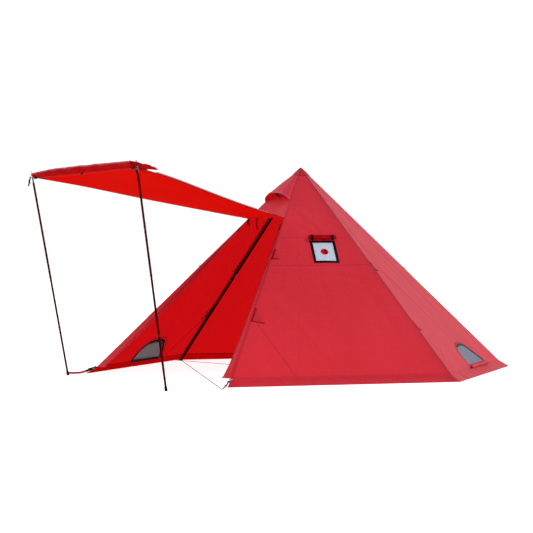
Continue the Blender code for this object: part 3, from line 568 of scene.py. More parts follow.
# Camera at the photograph's angle, with the horizon just above the tent's middle
view = {"place": (10.5258, -8.8717, 1.0234), "heading": 50.036, "pitch": 0.0344, "roll": -0.3953,
        "lens": 95.008, "sensor": 36}
bpy.ops.object.camera_add(location=view["place"])
camera = bpy.context.object
camera.rotation_euler = (Matrix.Rotation(radians(view["heading"]), 4, "Z")
                         @ Matrix.Rotation(radians(90 + view["pitch"]), 4, "X")
                         @ Matrix.Rotation(radians(view["roll"]), 4, "Z")).to_euler()
camera.data.lens = view["lens"]
camera.data.sensor_width = view["sensor"]
bpy.context.scene.camera = camera

# Cords and the ground strap, where the source has them
cords = {
    "strapWidth": 0.025, "strapThickness": 0.002, "legSpread": 2.03, "fromFoot": 0.09,
    "radius": 0.0022, "look": 1.35, "endRoom": 0.030, "leftRadius": 0.005,
    "rightPeg": (1.266, -2.005), "leftPeg": (-1.173, -1.987), "leftPoleFoot": (-1.056, -2.064),
    "poleFootRadius": 0.0125, "fromStrap": 0.0005,
}


def layCord(piece, finish, node):
    dress(piece, finish, nodes=[node])


def onGround(spot, height):
    return Vector((spot[0], spot[1] + tent["forward"], height))


strapLow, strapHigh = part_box("foot_strap")
strapY = (strapLow[1] + strapHigh[1]) / 2
strapLength = strapHigh[0] - strapLow[0]
strapLine = [Vector((strapLow[0] + strapLength * share, strapY,
                     cords["strapThickness"] / 2 + 0.0004 * sin(share * 102)))
             for share in shares(60)]
footStrap = ribbon("footStrap", strapLine, Vector((0, 0, 1)), cords["strapWidth"], 0.0016)
layCord(footStrap, "brownCord", "foot_strap")

cordStart = Vector((cords["fromFoot"] - cords["legSpread"],
                    strapLow[1] - cords["fromStrap"] - cords["radius"], cords["radius"]))
cordEnd = onGround(cords["rightPeg"], cords["radius"])
cordEnd += (cordStart - cordEnd).normalized() * cords["endRoom"]
cornerLine = [cordStart.lerp(cordEnd, share) for share in shares(30)]
layCord(tubeAlong("cornerCord", cornerLine, cords["radius"] * cords["look"]), "brownCord",
        "corner_cord")

leftZ = cords["leftRadius"]
pegSpot = onGround(cords["leftPeg"], leftZ)
leftStart = pegSpot + ((pegSpot - hem["doorLeft"]) * Vector((1, 1, 0))).normalized() * leftZ
poleSpot = onGround(cords["leftPoleFoot"], leftZ)
leftEnd = poleSpot + (leftStart - poleSpot).normalized() * (cords["poleFootRadius"] + leftZ)
leftLine = [leftStart.lerp(leftEnd, share) for share in shares(16)]
layCord(tubeAlong("leftCornerCord", leftLine, leftZ), "redCord", "left_corner_cord")
print("camera and cords placed")

# The canopy: five walls and the cloth above the door, one skin with its ridges closed
canopy = {"topRows": 22, "lowRows": 76, "columns": 44, "crownShare": 0.0192, "cutDepth": 0.06}
rootShare = (tent["root"] - tent["rootRoom"]) / slope["door"]
rowShares = [canopy["crownShare"] + (rootShare - canopy["crownShare"]) * share
             for share in shares(canopy["topRows"])[:-1]]
rowShares += [rootShare + (1 - rootShare) * share for share in shares(canopy["lowRows"])]


def wallGrid(side, rows):
    left, right = edges[side]

    def spot(u, v):
        share = rowShares[round((1 - v) * rows)]
        return onWall(side, (left + (right - left) * u) * share, share * slope[side])

    return gridSheet(side + "Cloth", rows, canopy["columns"], spot, (right - left, slope[side]))


panels = [wallGrid(side, canopy["topRows"] if side == "door" else len(rowShares) - 1)
          for side in sides]
cloth = joined("canopy", panels)
mergeDoubles(cloth, 0.0002)
thicken(cloth)

vents = {
    "width": 0.65, "height": 0.29, "shoulder": 0.19, "heel": 0.05, "topIn": 0.145,
    "topLength": 0.26, "aboveHem": 0.014, "corner": 0.025, "round": 0.09,
    "places": {"right": ("right_back", 0.17, 1), "left": ("left_front", 0.0, -1)},
    "binding": 0.036, "zipTape": 0.028, "coverRadius": 0.0125, "coverOverhang": 0.03,
    "coverDrop": 0.006, "netMargin": 0.012, "netLow": 0.008, "edgeLow": 0.003,
    "stitching": 0.007, "coil": 0.024, "coilMargin": -0.028,
}
jack = {"down": 1.142, "side": 0.050, "width": 0.245, "height": 0.282, "webbing": 0.025,
        "margin": 0.010, "hole": 0.040, "panelLift": 0.0018, "holeEdge": 0.004,
        "stitch": 0.0035, "stitchIn": 0.0725}
topVent = {"top": 0.24, "bottom": 0.39, "topWidth": 0.11, "bottomWidth": 0.20, "corner": 0.03,
           "netSpread": 1.08, "netLow": -0.0022, "netHigh": -0.0016, "edge": 0.012}


def ventOutline(side, middle, turn, margin=0.0):
    low = -slope[side] + vents["aboveHem"]
    upright = -vents["width"] / 2
    top = upright + vents["topIn"]
    corners = [(upright, 0), (-upright, 0), (-upright, vents["heel"]),
               (top + vents["topLength"], vents["height"]), (top, vents["height"]),
               (upright, vents["shoulder"])]
    cuts = [vents["corner"]] * 3 + [vents["round"]] * 3
    return [(middle + turn * x, low + y) for x, y in rounded(grown(corners, margin), cuts)]


def boxOutline(width, height, x, y):
    return [(x - width / 2, y - height / 2), (x + width / 2, y - height / 2),
            (x + width / 2, y + height / 2), (x - width / 2, y + height / 2)]


# The jack's outline, made smaller by less
def jackBox(less):
    return boxOutline(jack["width"] - less, jack["height"] - less, jack["side"], -jack["down"])


bottomHalf, topHalf = topVent["bottomWidth"] / 2, topVent["topWidth"] / 2
topVentOutline = rounded([(-bottomHalf, -topVent["bottom"]), (bottomHalf, -topVent["bottom"]),
                          (topHalf, -topVent["top"]), (-topHalf, -topVent["top"])],
                         [topVent["corner"]] * 4)
openings = [("right_front", jackBox(2 * (jack["webbing"] + jack["margin"]))),
            ("door", topVentOutline)]
openings += [(place[0], ventOutline(*place)) for place in vents["places"].values()]
for side, outline in openings:
    cutAway(cloth, outlinePlate("cutter", outline, walls[side], -canopy["cutDepth"],
                                canopy["cutDepth"]))
# the inner face takes the inside copy of the cloth, which paints the glow of the lit inside
dress(cloth, "wallCloth", nodes=["right_front_wall", "right_back_wall", "back_wall",
                                 "left_back_wall", "left_front_wall", "door_header"],
      inside="wallInsidePaintedGlow")
wallArea = sum((edges[side][1] - edges[side][0]) * slope[side] / 2 for side in sides
               if side != "door")
wallArea += (edges["door"][1] - edges["door"][0]) * rootShare ** 2 * slope["door"] / 2
wallArea - sum(outlineArea(outline) for side, outline in openings)
print("canopy sewn")

# The skirt below the hem, with small folds, its lower edge on the ground
skirt = {"folds": 8, "depth": 0.0045, "rows": 5, "columns": 66, "lift": 0.0005}


def skirtPoint(side, u, t):
    left, right = sides[side]
    top = hem[left].lerp(hem[right], u)
    low = ground[left].lerp(ground[right], u)
    out = (low - top) * Vector((1, 1, 0))
    free = smooth(min(u, 1 - u) / 0.06)
    seed = wallSeeds[side]
    fold = sin(u * skirt["folds"] * 2 * pi + 2.5 * wave(u * 4, 0, seed)) * wave(u * 5, 2, seed + 2)
    reach = free * skirt["depth"] * (fold * 1.6 + 0.5 * wave(u * 30, t, seed))
    spot = top.lerp(low, t) + out.normalized() * (reach * t - 0.010 * free * sin(pi * t))
    spot.z = max(spot.z + 0.006 * free * fold * sin(pi * t), 0) + skirt["lift"] * (t == 1)
    return spot


skirts = [gridSheet(side + "Skirt", skirt["rows"], skirt["columns"],
                    lambda u, v, side=side: skirtPoint(side, u, 1 - v), (2.0, 0.12))
          for side in sides if side != "door"]
skirtPiece = joined("hemSkirts", skirts)
mergeDoubles(skirtPiece, 0.0002)
thicken(skirtPiece)
dress(skirtPiece, "skirtCloth", nodes=["right_front_skirt", "right_back_skirt", "back_skirt",
                                       "left_back_skirt", "left_front_skirt"], inside="wallInsidePaintedGlow")

# Flat-felled seams: a narrow doubled band down each ridge, along the hem and across the panels
seams = {"width": 0.009, "thickness": 0.0006, "lift": 0.0006, "fromRidge": 0.007,
         "fromHem": 0.012, "start": 0.125, "upper": 0.953, "lower": 1.312, "inset": 0.02}
seamLines = []
for side in sides:
    left, right = edges[side]
    bottom = tent["root"] - 0.01 if side == "door" else slope[side] - 0.004
    for end, inward in ((0, 1), (1, -1)):
        seamLines.append((side, [(ridgeAt(side, end, down) + inward * seams["fromRidge"], down)
                                 for down in (seams["start"], bottom)]))
    if side != "door":
        low = slope[side] - seams["fromHem"]
        seamLines.append((side, [(left + seams["fromHem"], low), (right - seams["fromHem"], low)]))


def crossSeam(down):
    return [(ridgeAt("right_front", 0, down) + seams["inset"], down),
            (ridgeAt("right_front", 1, down) - seams["inset"], down)]


leftEnd, rightEnd = crossSeam(seams["upper"])
seamLines += [("right_front", line) for line in (
    [leftEnd, (-0.095, seams["upper"])], [(0.195, seams["upper"]), (rightEnd[0], 0.958)],
    crossSeam(seams["lower"]), [(-0.72, 2.0), (-0.455, 2.61)])]
seamLines.append(("left_front", [(-0.72, 2.0), (-0.449, 2.612)]))
seamPieces = {1: [], -1: []}
for number, (side, spots) in enumerate(seamLines):
    for facing in (1, -1):
        tape = wallTape(f"seam_{number}_{facing}", side, spots, seams["width"],
                        seams["thickness"], facing * seams["lift"], spacing=0.028)
        seamPieces[facing].append(tape)
dress(joined("wallSeams", seamPieces[1]), "seamCloth")
# from inside, the seams' dark red is painted shade
dress(joined("wallSeamsInsideShaded", seamPieces[-1]), "shadedSeamInside")

# Storm strips beside the door. The door's cloth is unzipped from them, so their inner
# edges are folded back and lie in long soft waves.
strip = {"start": 0.08, "topWidth": 0.014, "bottomWidth": 0.13, "zip": 0.008, "rows": 90,
         "columns": 14, "belly": 0.010, "curl": 0.036, "fall": {1: 0.55, -1: 1.1}}
stripTop = tent["root"] + strip["start"]
doorLength = slope["door"]


def stripSpot(turn, u, v):
    down = doorLength - 0.002 + (stripTop - doorLength + 0.002) * v
    width = strip["bottomWidth"] + (strip["topWidth"] - strip["bottomWidth"]) * v
    x = ridgeAt("door", 1, down) - width * u
    swell = width / strip["bottomWidth"]
    lift = strip["belly"] * swell * sin(pi * u) * (0.7 + 0.6 * wave(v * 6, 1, 4.0 * turn))
    lift += 0.004 * swell * sin(pi * u) * sin(3 * pi * u)
    lift -= strip["curl"] * u ** 2 * sin(pi * v ** strip["fall"][turn])
    return walls["door"] @ Vector((turn * x, -down, lift))


for name, turn in (("right", 1), ("left", -1)):
    piece = gridSheet(name + "StormStrip", strip["rows"], strip["columns"],
                      lambda u, v: stripSpot(turn, 1 - u if turn > 0 else u, v), (0.07, 1.85))
    thicken(piece)
    dress(piece, "doubledCloth", nodes=[name + "_storm_strip"], inside="wallInsidePaintedGlow")
    normal = outOf["door"]
    zipLine = [stripSpot(turn, 1.0, share) - alongHem["door"] * turn * strip["zip"] / 2
               for share in shares(60)]
    # the turned edge, doubled back outward over the zip's tape, which has its coil inside
    for label, finish, out, width, thickness, count, nodes in (
            ("StripEdge", "doubledCloth", 0.0018, 0.013, 0.0010, 58, []),
            ("ZipTape", "zipTape", 0, strip["zip"], 0.0010, 61, [name + "_door_zip"]),
            ("ZipCoil", "zipCoil", -0.0010, 0.0045, 0.0012, 61, [])):
        band = ribbon(name + label, [spot + normal * out for spot in zipLine[:count]], normal,
                      width, thickness)
        dress(band, finish, nodes=nodes)
print("seams, skirts and strips sewn")

# The doubled cap on the peak, gathered into small pleats
cap = {"length": 0.12, "rows": 14, "columns": 10, "lift": 0.0016, "pleat": 0.0022, "blunt": 0.010}
capShare = cap["length"] / doorLength


def capPoint(side, u, v):
    left, right = edges[side]
    share = capShare * (1 - v)
    x = (left + (right - left) * u) * share
    down = share * slope[side]
    pleat = cap["pleat"] * sin(u * 4 * pi + wallSeeds[side]) * smooth(min(u, 1 - u) / 0.2)
    spot = walls[side] @ Vector((x, -down, 0))
    outward = (spot - apex) * Vector((1, 1, 0))
    tip = exp(-(share * doorLength / 0.018) ** 2)
    spot += Vector((0, 0, (cap["lift"] + 0.0012) / 0.72 - cap["blunt"] * 0.4 * tip))
    if outward.length > 0:
        bulge = 0.0030 * sin(pi * min(1, share / capShare))
        spot += outward.normalized() * (bulge + pleat * (1 - v))
    return spot


capPanels = [gridSheet(side + "Cap", cap["rows"], cap["columns"],
                       lambda u, v, side=side: capPoint(side, u, v), (0.09, 0.12))
             for side in sides]
capPiece = joined("peakCap", capPanels)
mergeDoubles(capPiece, 0.0004)
thicken(capPiece, 0.0012)
dress(capPiece, "doubledCloth", nodes=["peak_cap"], inside="wallInsidePaintedGlow", angle=50)

# The hood over the top vent: half a cone of cloth, open at the bottom, its edge turned twice
hood = {"start": 0.128, "end": 0.435, "height": 0.092, "margin": 0.004, "rows": 22, "columns": 36,
        "sweep": 0.028, "edge": 0.020, "edgeUp": 0.035, "edgeEnd": 0.97}
header = {"hemHalf": 0.262, "hemUp": 0.009, "hemWidth": 0.014}


def hoodPoint(share, across, out=0.0):
    down = hood["start"] + (hood["end"] - hood["start"]) * (1 - share)
    down += hood["sweep"] * across ** 2 * (1 - share)
    half = ridgeAt("door", 1, down) - hood["margin"]
    height = hood["height"] * (down - tent["crown"]) / (hood["end"] - tent["crown"])
    angle = across * pi / 2
    free = smooth((1 - abs(across)) / 0.2) * smooth((1 - share) / 0.2)
    crumple = free * (0.0045 * wave(across * 3, share * 2.5, 7.7)
                      + 0.0015 * wave(across * 9, share * 7, 1.1))
    reach = 1 + (crumple + out) / height
    return walls["door"] @ Vector((half * sin(angle) * (1 + 0.5 * crumple / height), -down,
                                   height * cos(angle) * reach + 0.0018))


hoodPiece = gridSheet("ventHood", hood["rows"], hood["columns"],
                      lambda u, v: hoodPoint(v, 2 * u - 1), (0.35, 0.31))
thicken(hoodPiece)
# the hood takes the brighter copy of the cloth, painted light on its lit face
dress(hoodPiece, "paintedLitCloth", nodes=["vent_hood"], inside="wallInsidePaintedGlow")
acrossHood = [hood["edgeEnd"] * (2 * share - 1) for share in shares(40)]
hoodNormals = [alongHem["door"] * sin(across * pi / 2) + outOf["door"] * cos(across * pi / 2)
               for across in acrossHood]
# the hood's turned edge, its pale pink a painted highlight
dress(ribbon("hoodEdge", [hoodPoint(hood["edgeUp"], across, 0.0016) for across in acrossHood],
             hoodNormals, hood["edge"], 0.0016), "paintedHighlightTurnedEdge")
# the hem above the awning's root, its pale pink a painted highlight
headerHem = [(way * header["hemHalf"], tent["root"] - header["hemUp"]) for way in (-1, 1)]
dress(wallTape("headerHem", "door", headerHem, header["hemWidth"], 0.0010, 0.0016), "paintedHighlightTurnedEdge")
netPlate = outlinePlate("topVentNet", [(x * topVent["netSpread"], y) for x, y in topVentOutline],
                        walls["door"], topVent["netLow"], topVent["netHigh"])
dress(netPlate, "net", nodes=["top_vent_mesh"])
dress(outlineTape("topVentEdge", "door", topVentOutline, topVent["edge"], 0.0010, 0.0012),
      "seamCloth")


# A cover rolled up on itself: a spiral of cloth, as wide as it was cut
def rolledCover(name, side, x, y, half, radius, core, turns, squash, size, seed, crumple,
                bundle=0.0):
    height = 0.0013 + radius["held"] * squash
    start, end = [walls[side] @ Vector((x + way * half, y, height)) for way in (-1, 1)]
    along, rim = end - start, radius["rim"]

    def spot(u, v):
        angle = turns * 2 * pi * v
        reach = (core + (rim - core) * v) * (0.90 + 0.10 * sin(5 * pi * u) ** 2)
        reach *= 1 + crumple * (wave(u * 5 + 0.6 * cos(angle), 1.2 * sin(angle), seed)
                                + 0.8 * wave(u * 4, 3.2 * sin(angle) + u * 5, seed + 4))
        reach = min(reach, rim * 1.06) * (1 + bundle * smooth((u - 0.72) / 0.16))
        lean = 0.004 * wave(v * 5, 3, seed) * (abs(2 * u - 1) > 0.9)
        return (start + along * u + along.normalized() * lean + upSlope[side] * reach * cos(angle)
                + outOf[side] * reach * squash * sin(angle))

    piece = gridSheet(name, *size, spot, (along.length, 0.3))
    return thicken(piece, 0.0006)


for name, (side, middle, turn) in vents["places"].items():
    def outlineAt(margin, low):
        outline = ventOutline(side, middle, turn, margin)
        return [(x, max(y, low - slope[side])) for x, y in outline]

    netOutline = outlineAt(vents["netMargin"], vents["netLow"])
    net = outlinePlate(name + "VentNet", netOutline, walls[side], -0.0013, -0.0007)
    for vert in net.data.vertices:   # the net follows the wall's own hollow
        local = walls[side].inverted() @ vert.co
        vert.co = walls[side] @ (local + Vector((0, 0, wallLift(side, local.x, -local.y))))
    dress(net, "net", nodes=[name + "_vent_mesh"])
    outlineArea(netOutline)
    # a cloth binding outside, the zip's black tape inside and a stitched line beyond it, whose
    # dark red is painted shade
    for label, finish, margin, width, above in (
            ("Binding", "doubledCloth", -0.014, vents["binding"], 0.0012),
            ("ZipTape", "zipTape", -0.004, vents["zipTape"], -0.0020),
            ("Stitching", "shadedSeamInside", 0.030, vents["stitching"], -0.0008)):
        outline = outlineAt(margin, vents["edgeLow"])
        dress(outlineTape(name + "Vent" + label, side, outline, width, 0.0010, above), finish)
    # the zip's coil, on both faces of the slanted side
    slanted = ventOutline(side, middle, turn, vents["coilMargin"])[15:33]
    for facing in (1, -1):
        dress(outlineTape(f"{name}VentZip{facing}", side, slanted, vents["coil"], 0.0016,
                          facing * 0.0030, closed=False), "zipCoil")
    low = vents["aboveHem"] - slope[side] - vents["coverDrop"]
    roll = rolledCover(name + "VentCover", side, middle, low,
                       turn * (vents["width"] / 2 + vents["coverOverhang"]),
                       {"held": vents["coverRadius"], "rim": vents["coverRadius"]},
                       0.003, 4.0, 1.0, (96, 54), wallSeeds[side], 0.20, 0.45)
    # the rolled cover takes the brighter copy of the cloth, painted light
    dress(roll, "paintedLitCloth", nodes=[name + "_vent_cover"], angle=60)
print("vents done")

# Stove jack: glass cloth with a pipe hole, a webbing frame, the rolled rain flap and its straps
front = "right_front"
inset = jackBox(jack["webbing"])
low, high = Vector(inset[0]), Vector(inset[2])
panel = gridSheet("jackPanel", 24, 24, lambda u, v: onWall(
    front, low.x + (high.x - low.x) * u, -low.y - (high.y - low.y) * v, jack["panelLift"]),
                  (0.22, 0.25))
applied(panel, "SOLIDIFY", thickness=0.0010, offset=0)
holePoints = circle(jack["hole"], 40, jack["side"], -jack["down"])
cutAway(panel, outlinePlate("cutter", holePoints, walls[front], -0.05, 0.05))
dress(panel, "fireproof", nodes=["stove_jack_panel"])
dress(outlineTape("jackHoleEdge", front, holePoints, jack["holeEdge"], 0.0008, 0.0026, 0.007),
      "paleThread")
framePieces = []
for index in range(4):
    a, b = Vector(inset[index]), Vector(inset[(index + 1) % 4])
    along = (b - a).normalized() * jack["webbing"] / 2
    a, b = a - along, b + along
    framePieces.append(outlineTape(f"jackFrame{index}", front, [a, b], jack["webbing"], 0.0014,
                                   0.0036 + 0.0003 * (index % 2), 0.02, closed=False))
dress(joined("jackFrame", framePieces), "blackWebbing", nodes=["stove_jack_frame"])
dress(outlineTape("jackPanelStitch", front, jackBox(jack["stitchIn"]), jack["stitch"], 0.0008,
                  0.0027, 0.01), "paleThread")

flap = {"radius": 0.029, "squash": 0.62, "overhang": 0.010, "gap": -0.004, "strap": 0.022,
        "strapRoom": 0.0014, "tail": 0.016}
flapY = -jack["down"] + jack["height"] / 2 + flap["gap"] + flap["radius"]
flapHeight = 0.0013 + flap["radius"] * flap["squash"]
flapRoll = rolledCover("rainFlap", front, jack["side"], flapY,
                       jack["width"] / 2 + flap["overhang"],
                       {"held": flap["radius"], "rim": flap["radius"] * 0.97},
                       0.006, 3.2, flap["squash"], (110, 72), 2.2, 0.42)
# the rain flap's outer cloth is the brighter copy, painted light, and its inner cloth the darker
# hem copy, painted shade
dress(flapRoll, "paintedLitCloth", nodes=["stove_jack_flap"], inside="paintedShadeBrimCloth", angle=60)
for name, turn in (("left", -1), ("right", 1)):
    x = jack["side"] + turn * (jack["width"] / 2 - jack["webbing"])
    reach = flap["radius"] + flap["strapRoom"]
    angles = [-0.25 * pi + 1.5 * pi * share for share in shares(24)]
    points = [walls[front] @ Vector((x, flapY + reach * cos(angle), max(
        flapHeight + reach * flap["squash"] * sin(angle), 0.0012))) for angle in angles]
    normals = [upSlope[front] * cos(angle) + outOf[front] * sin(angle) for angle in angles]
    dress(ribbon(name + "FlapStrap", points, normals, flap["strap"], 0.0014), "blackWebbing",
          nodes=[name + "_flap_strap"])
    tail = [walls[front] @ Vector((x + 0.002 * turn, flapY - 0.012 - 0.0030 * step,
                                   0.004 + 0.0012 * step * (1 + 0.3 * sin(step))))
            for step in range(-8, 4)]
    dress(ribbon(name + "FlapStrapTail", tail, outOf[front], flap["tail"], 0.0012),
          "blackWebbing")
print("stove jack done")

# Ridge tabs: triangular patches beside the ridges with a webbing loop at the ridge
tabs = {"fromRidge": 0.006, "thickness": 0.0010, "edge": 0.010, "webbing": 0.015, "slant": 0.25,
        "slanted": 0.12, "loopIn": 0.006, "loopOut": 0.010, "loopWidth": 0.007,
        "loopRadius": 0.0018,
        "places": [  # side, which edge, share down the slope, height, width
            ("right_front", 0, 0.445, 0.125, 0.075), ("right_front", 0, 0.725, 0.150, 0.120),
            ("right_back", 0, 0.507, 0.110, 0.080), ("right_back", 0, 0.785, 0.110, 0.080),
            ("back", 0, 0.50, 0.125, 0.08), ("back", 0, 0.76, 0.15, 0.12),
            ("left_back", 0, 0.50, 0.125, 0.08), ("left_back", 0, 0.76, 0.15, 0.12),
            ("left_front", 0, 0.50, 0.125, 0.08), ("left_front", 0, 0.745, 0.15, 0.12),
            ("left_front", 1, 0.480, 0.125, 0.10), ("left_front", 1, 0.725, 0.15, 0.12)]}
# the dark red bands along each tab's ridge side and bottom are partly its stitched edge, partly
# painted shadow under the raised tab
tabPieces, tabEdgeAndShadeBands, loopPieces = [], [], []
for number, (side, end, place, height, width) in enumerate(tabs["places"]):
    inward = -1 if end else 1
    top, low = place * slope[side] - height / 2, place * slope[side] + height / 2
    slant = width * tabs["slant"] if width >= tabs["slanted"] else 0.0

    def tabX(down, reach=0.0):
        return ridgeAt(side, end, down) + inward * (tabs["fromRidge"] + reach)

    for facing in (1, -1):
        def spot(u, v):
            down = top + (low - top) * (1 - v)
            reach = width * (1 - v) * (1 - u if end else u)
            return onWall(side, tabX(down, reach), down + slant * reach / width, facing * 0.0012)

        patch = gridSheet(f"tab_{number}_{facing}", 8, 6, spot, (0.08, 0.1))
        mergeDoubles(patch, 0.0002)
        applied(patch, "SOLIDIFY", thickness=tabs["thickness"], offset=0)
        tabPieces.append(patch)
        for part, (a, b, wide) in enumerate((
                ((tabX(top, tabs["loopIn"]), top), (tabX(low, tabs["loopIn"]), low),
                 tabs["webbing"]),
                ((tabX(low), low), (tabX(low, width), low + slant), tabs["edge"]))):
            tabEdgeAndShadeBands.append(wallTape(f"tabEdge_{number}_{facing}_{part}", side, [a, b], wide,
                                     0.0010, facing * 0.0022, spacing=0.012))
    foot = onWall(side, tabX(low - 0.01, tabs["loopIn"]), low - 0.01, 0.003)
    loopLine = [foot - alongHem[side] * inward * (0.001 + tabs["loopWidth"] * sin(angle))
                + (outOf[side] * sin(angle) + upSlope[side] * cos(angle)) * tabs["loopOut"]
                for angle in [pi * share for share in shares(12)]]
    loopPieces.append(tubeAlong(f"tabLoop_{number}", loopLine, tabs["loopRadius"]))
dress(joined("ridgeTabs", tabPieces), "wallCloth")
dress(joined("ridgeTabEdgesAndShade", tabEdgeAndShadeBands), "darkRedEdgeAndShade")
dress(joined("ridgeTabLoops", loopPieces), "darkRedEdgeAndShade")

# Awning: the door panel, in the poses' rest place
awning = {"reach": 2.564, "height": 1.868, "hemHalf": 0.8355, "rootHalf": 0.0, "sag": 0.025,
          "droop": 0.018, "droopAt": 0.25, "rows": 80, "columns": 60, "tape": 0.008,
          "edgeLift": 0.009, "seam": 0.009, "zipStart": 0.05, "zipEnd": 0.995,
          "bindingStart": 0.12, "bindingEnd": 0.88, "binding": 0.016, "hemEdge": 0.013}
rootLine = apex.lerp((hem["doorLeft"] + hem["doorRight"]) / 2, tent["root"] / doorLength)
awning["rootHalf"] = tent["doorHalf"] * tent["root"] / doorLength - 0.003
hemY = -awning["reach"] + tent["forward"]


def awningHalf(share):
    return awning["rootHalf"] + (awning["hemHalf"] - awning["rootHalf"]) * share


def awningPoint(share, across, above=0.0):
    level = rootLine.z + (awning["height"] - rootLine.z) * share
    sag = awning["sag"] * 4 * share * (1 - share) * (1 - across ** 2)
    peak = 1 / awning["droopAt"] - 1
    deepest = awning["droopAt"] * (1 - awning["droopAt"]) ** peak
    droop = awning["droop"] * share * (1 - share) ** peak / deepest * (1 + across) / 2
    free = smooth((1 - abs(across)) / 0.15) * smooth(share / 0.08) * smooth((1 - share) / 0.05)
    folds = 0.006 * free * wave(across * 3.2, share * 1.4, 8.8)
    folds += 0.0022 * free * wave(across * 9, share * 4, 2.3)
    # pulls that fan out from the two raised corners
    for corner in (-1, 1):
        dx, dy = (across - corner) * 0.8, (1 - share) * 2.1
        pull = exp(-(hypot(dx, dy) / 0.55) ** 2)
        folds += 0.006 * free * pull * sin(atan2(dy, abs(dx) + 0.01) * 16)
    folds += awning["edgeLift"] * exp(-((share - 0.78) / 0.2) ** 2) * across ** 2
    start = rootLine.y - tent["rootRoom"]
    return Vector((awningHalf(share) * across, start + (hemY + 0.0005 - start) * share,
                   level - sag - droop + folds + above))


shade = gridSheet("awningCloth", awning["rows"], awning["columns"],
                  lambda u, v: awningPoint(1 - v, 2 * u - 1), (1.6, 2.15))
thicken(shade)
# its underside takes the orange-red copy, a painted glow
dress(shade, "awningCloth", body="door_awning", nodes=["awning_panel"], inside="awningUnderPaintedGlow")
awningLength = hypot(hemY - rootLine.y, awning["height"] - rootLine.z)
up = Vector((0, 0, 1))
seamParts = []
for number, (start, end, facings) in enumerate([((0.985, -0.99), (0.985, 0.99), (1, -1)),
                                                ((0.012, -0.98), (0.012, 0.98), (1, -1)),
                                                ((0.02, 0.0), (0.985, 0.0), (1,))]):
    for facing in facings:
        line = [awningPoint(*Vector(start).lerp(Vector(end), share), facing * 0.0011)
                for share in shares(60)]
        seamParts.append(ribbon(f"awningSeam_{number}_{facing}", line, up, awning["seam"], 0.0008))
dress(joined("awningSeams", seamParts), "seamCloth", body="door_awning")


def downAwning(start, end, count):
    return [start + (end - start) * share for share in shares(count)]


# the zip tapes start a little below the root, the bindings keep clear of both ends
# the bindings' pale pink is a painted highlight along the awning's side edges
tapeParts, edgeParts = [], []
for turn in (-1, 1):
    for facing in (1, -1):
        line = [awningPoint(share, turn * (1 - 0.006 / awningHalf(share)), facing * 0.0012)
                for share in downAwning(awning["zipStart"], awning["zipEnd"], 80)]
        tapeParts.append(ribbon(f"awningZip_{turn}_{facing}", line, up, awning["tape"], 0.0010))
    line = [awningPoint(share, turn * 0.998, 0.0060)
            for share in downAwning(awning["bindingStart"], awning["bindingEnd"], 70)]
    edgeParts.append(ribbon("awningEdge", line, Vector((0.64 * turn, -0.6, 0.48)),
                            awning["binding"], 0.0010))
dress(joined("awningZips", tapeParts), "zipTape", body="door_awning")
dress(joined("awningEdges", edgeParts), "paintedHighlightTurnedEdge", body="door_awning")

# The awning's hem skirt, crumpled where it hangs free of the ground
brim = {"rise": 0.042, "leftRise": 0.022, "even": 0.55, "out": 0.075, "folds": 6, "depth": 0.009,
        "foldRise": 0.004, "bulge": 0.006, "shift": 0.8, "rows": 22, "columns": 150}


def brimPoint(share, across, above=0.0):
    flattened = max(0.0, -across - brim["even"]) / (1 - brim["even"])
    height = brim["rise"] + (brim["leftRise"] - brim["rise"]) * flattened
    ripple = sin(brim["folds"] * pi * across + brim["shift"]) * share
    bulge = brim["bulge"] * (1 - across ** 2) * share
    crumple = share * (0.005 * wave(across * 7, share * 2.2, 3.1)
                       + 0.0022 * wave(across * 23, share * 6, 9.4))
    drawnIn = 1 - 0.6 * smooth((-across - 0.86) / 0.14)
    y = hemY - 0.0005 - drawnIn * ((brim["out"] - brim["depth"]) * share - ripple * brim["depth"])
    z = (awning["height"] + height * sin(share * pi / 2) + 0.5 * ripple * brim["foldRise"] + bulge
         + crumple)
    y -= 0.6 * share * 0.006 * wave(across * 14, share * 4, 5.0) + 0.004 * share
    y = max(y, hemY - brim["out"] - 0.006)
    return Vector((awning["hemHalf"] * across, y, z + above))


# the hem skirt takes the darker hem cloth, partly painted shade
brimPiece = gridSheet("awningHemSkirt", brim["rows"], brim["columns"],
                      lambda u, v: brimPoint(1 - v, 2 * u - 1), (1.6, 0.12))
thicken(brimPiece)
dress(brimPiece, "paintedShadeBrimCloth", body="door_awning", nodes=["awning_hem_skirt"])
# a pale pink band along the hem skirt's top edge: a painted highlight where the fold catches the
# light
edgeLine = [brimPoint(0.985, -0.995 + 1.99 * share, 0.0012) for share in shares(120)]
dress(ribbon("hemSkirtEdge", edgeLine, Vector((0, -0.9, 0.43)), awning["hemEdge"], 0.0010),
      "paintedHighlightTurnedEdge", body="door_awning")
print("awning sewn")

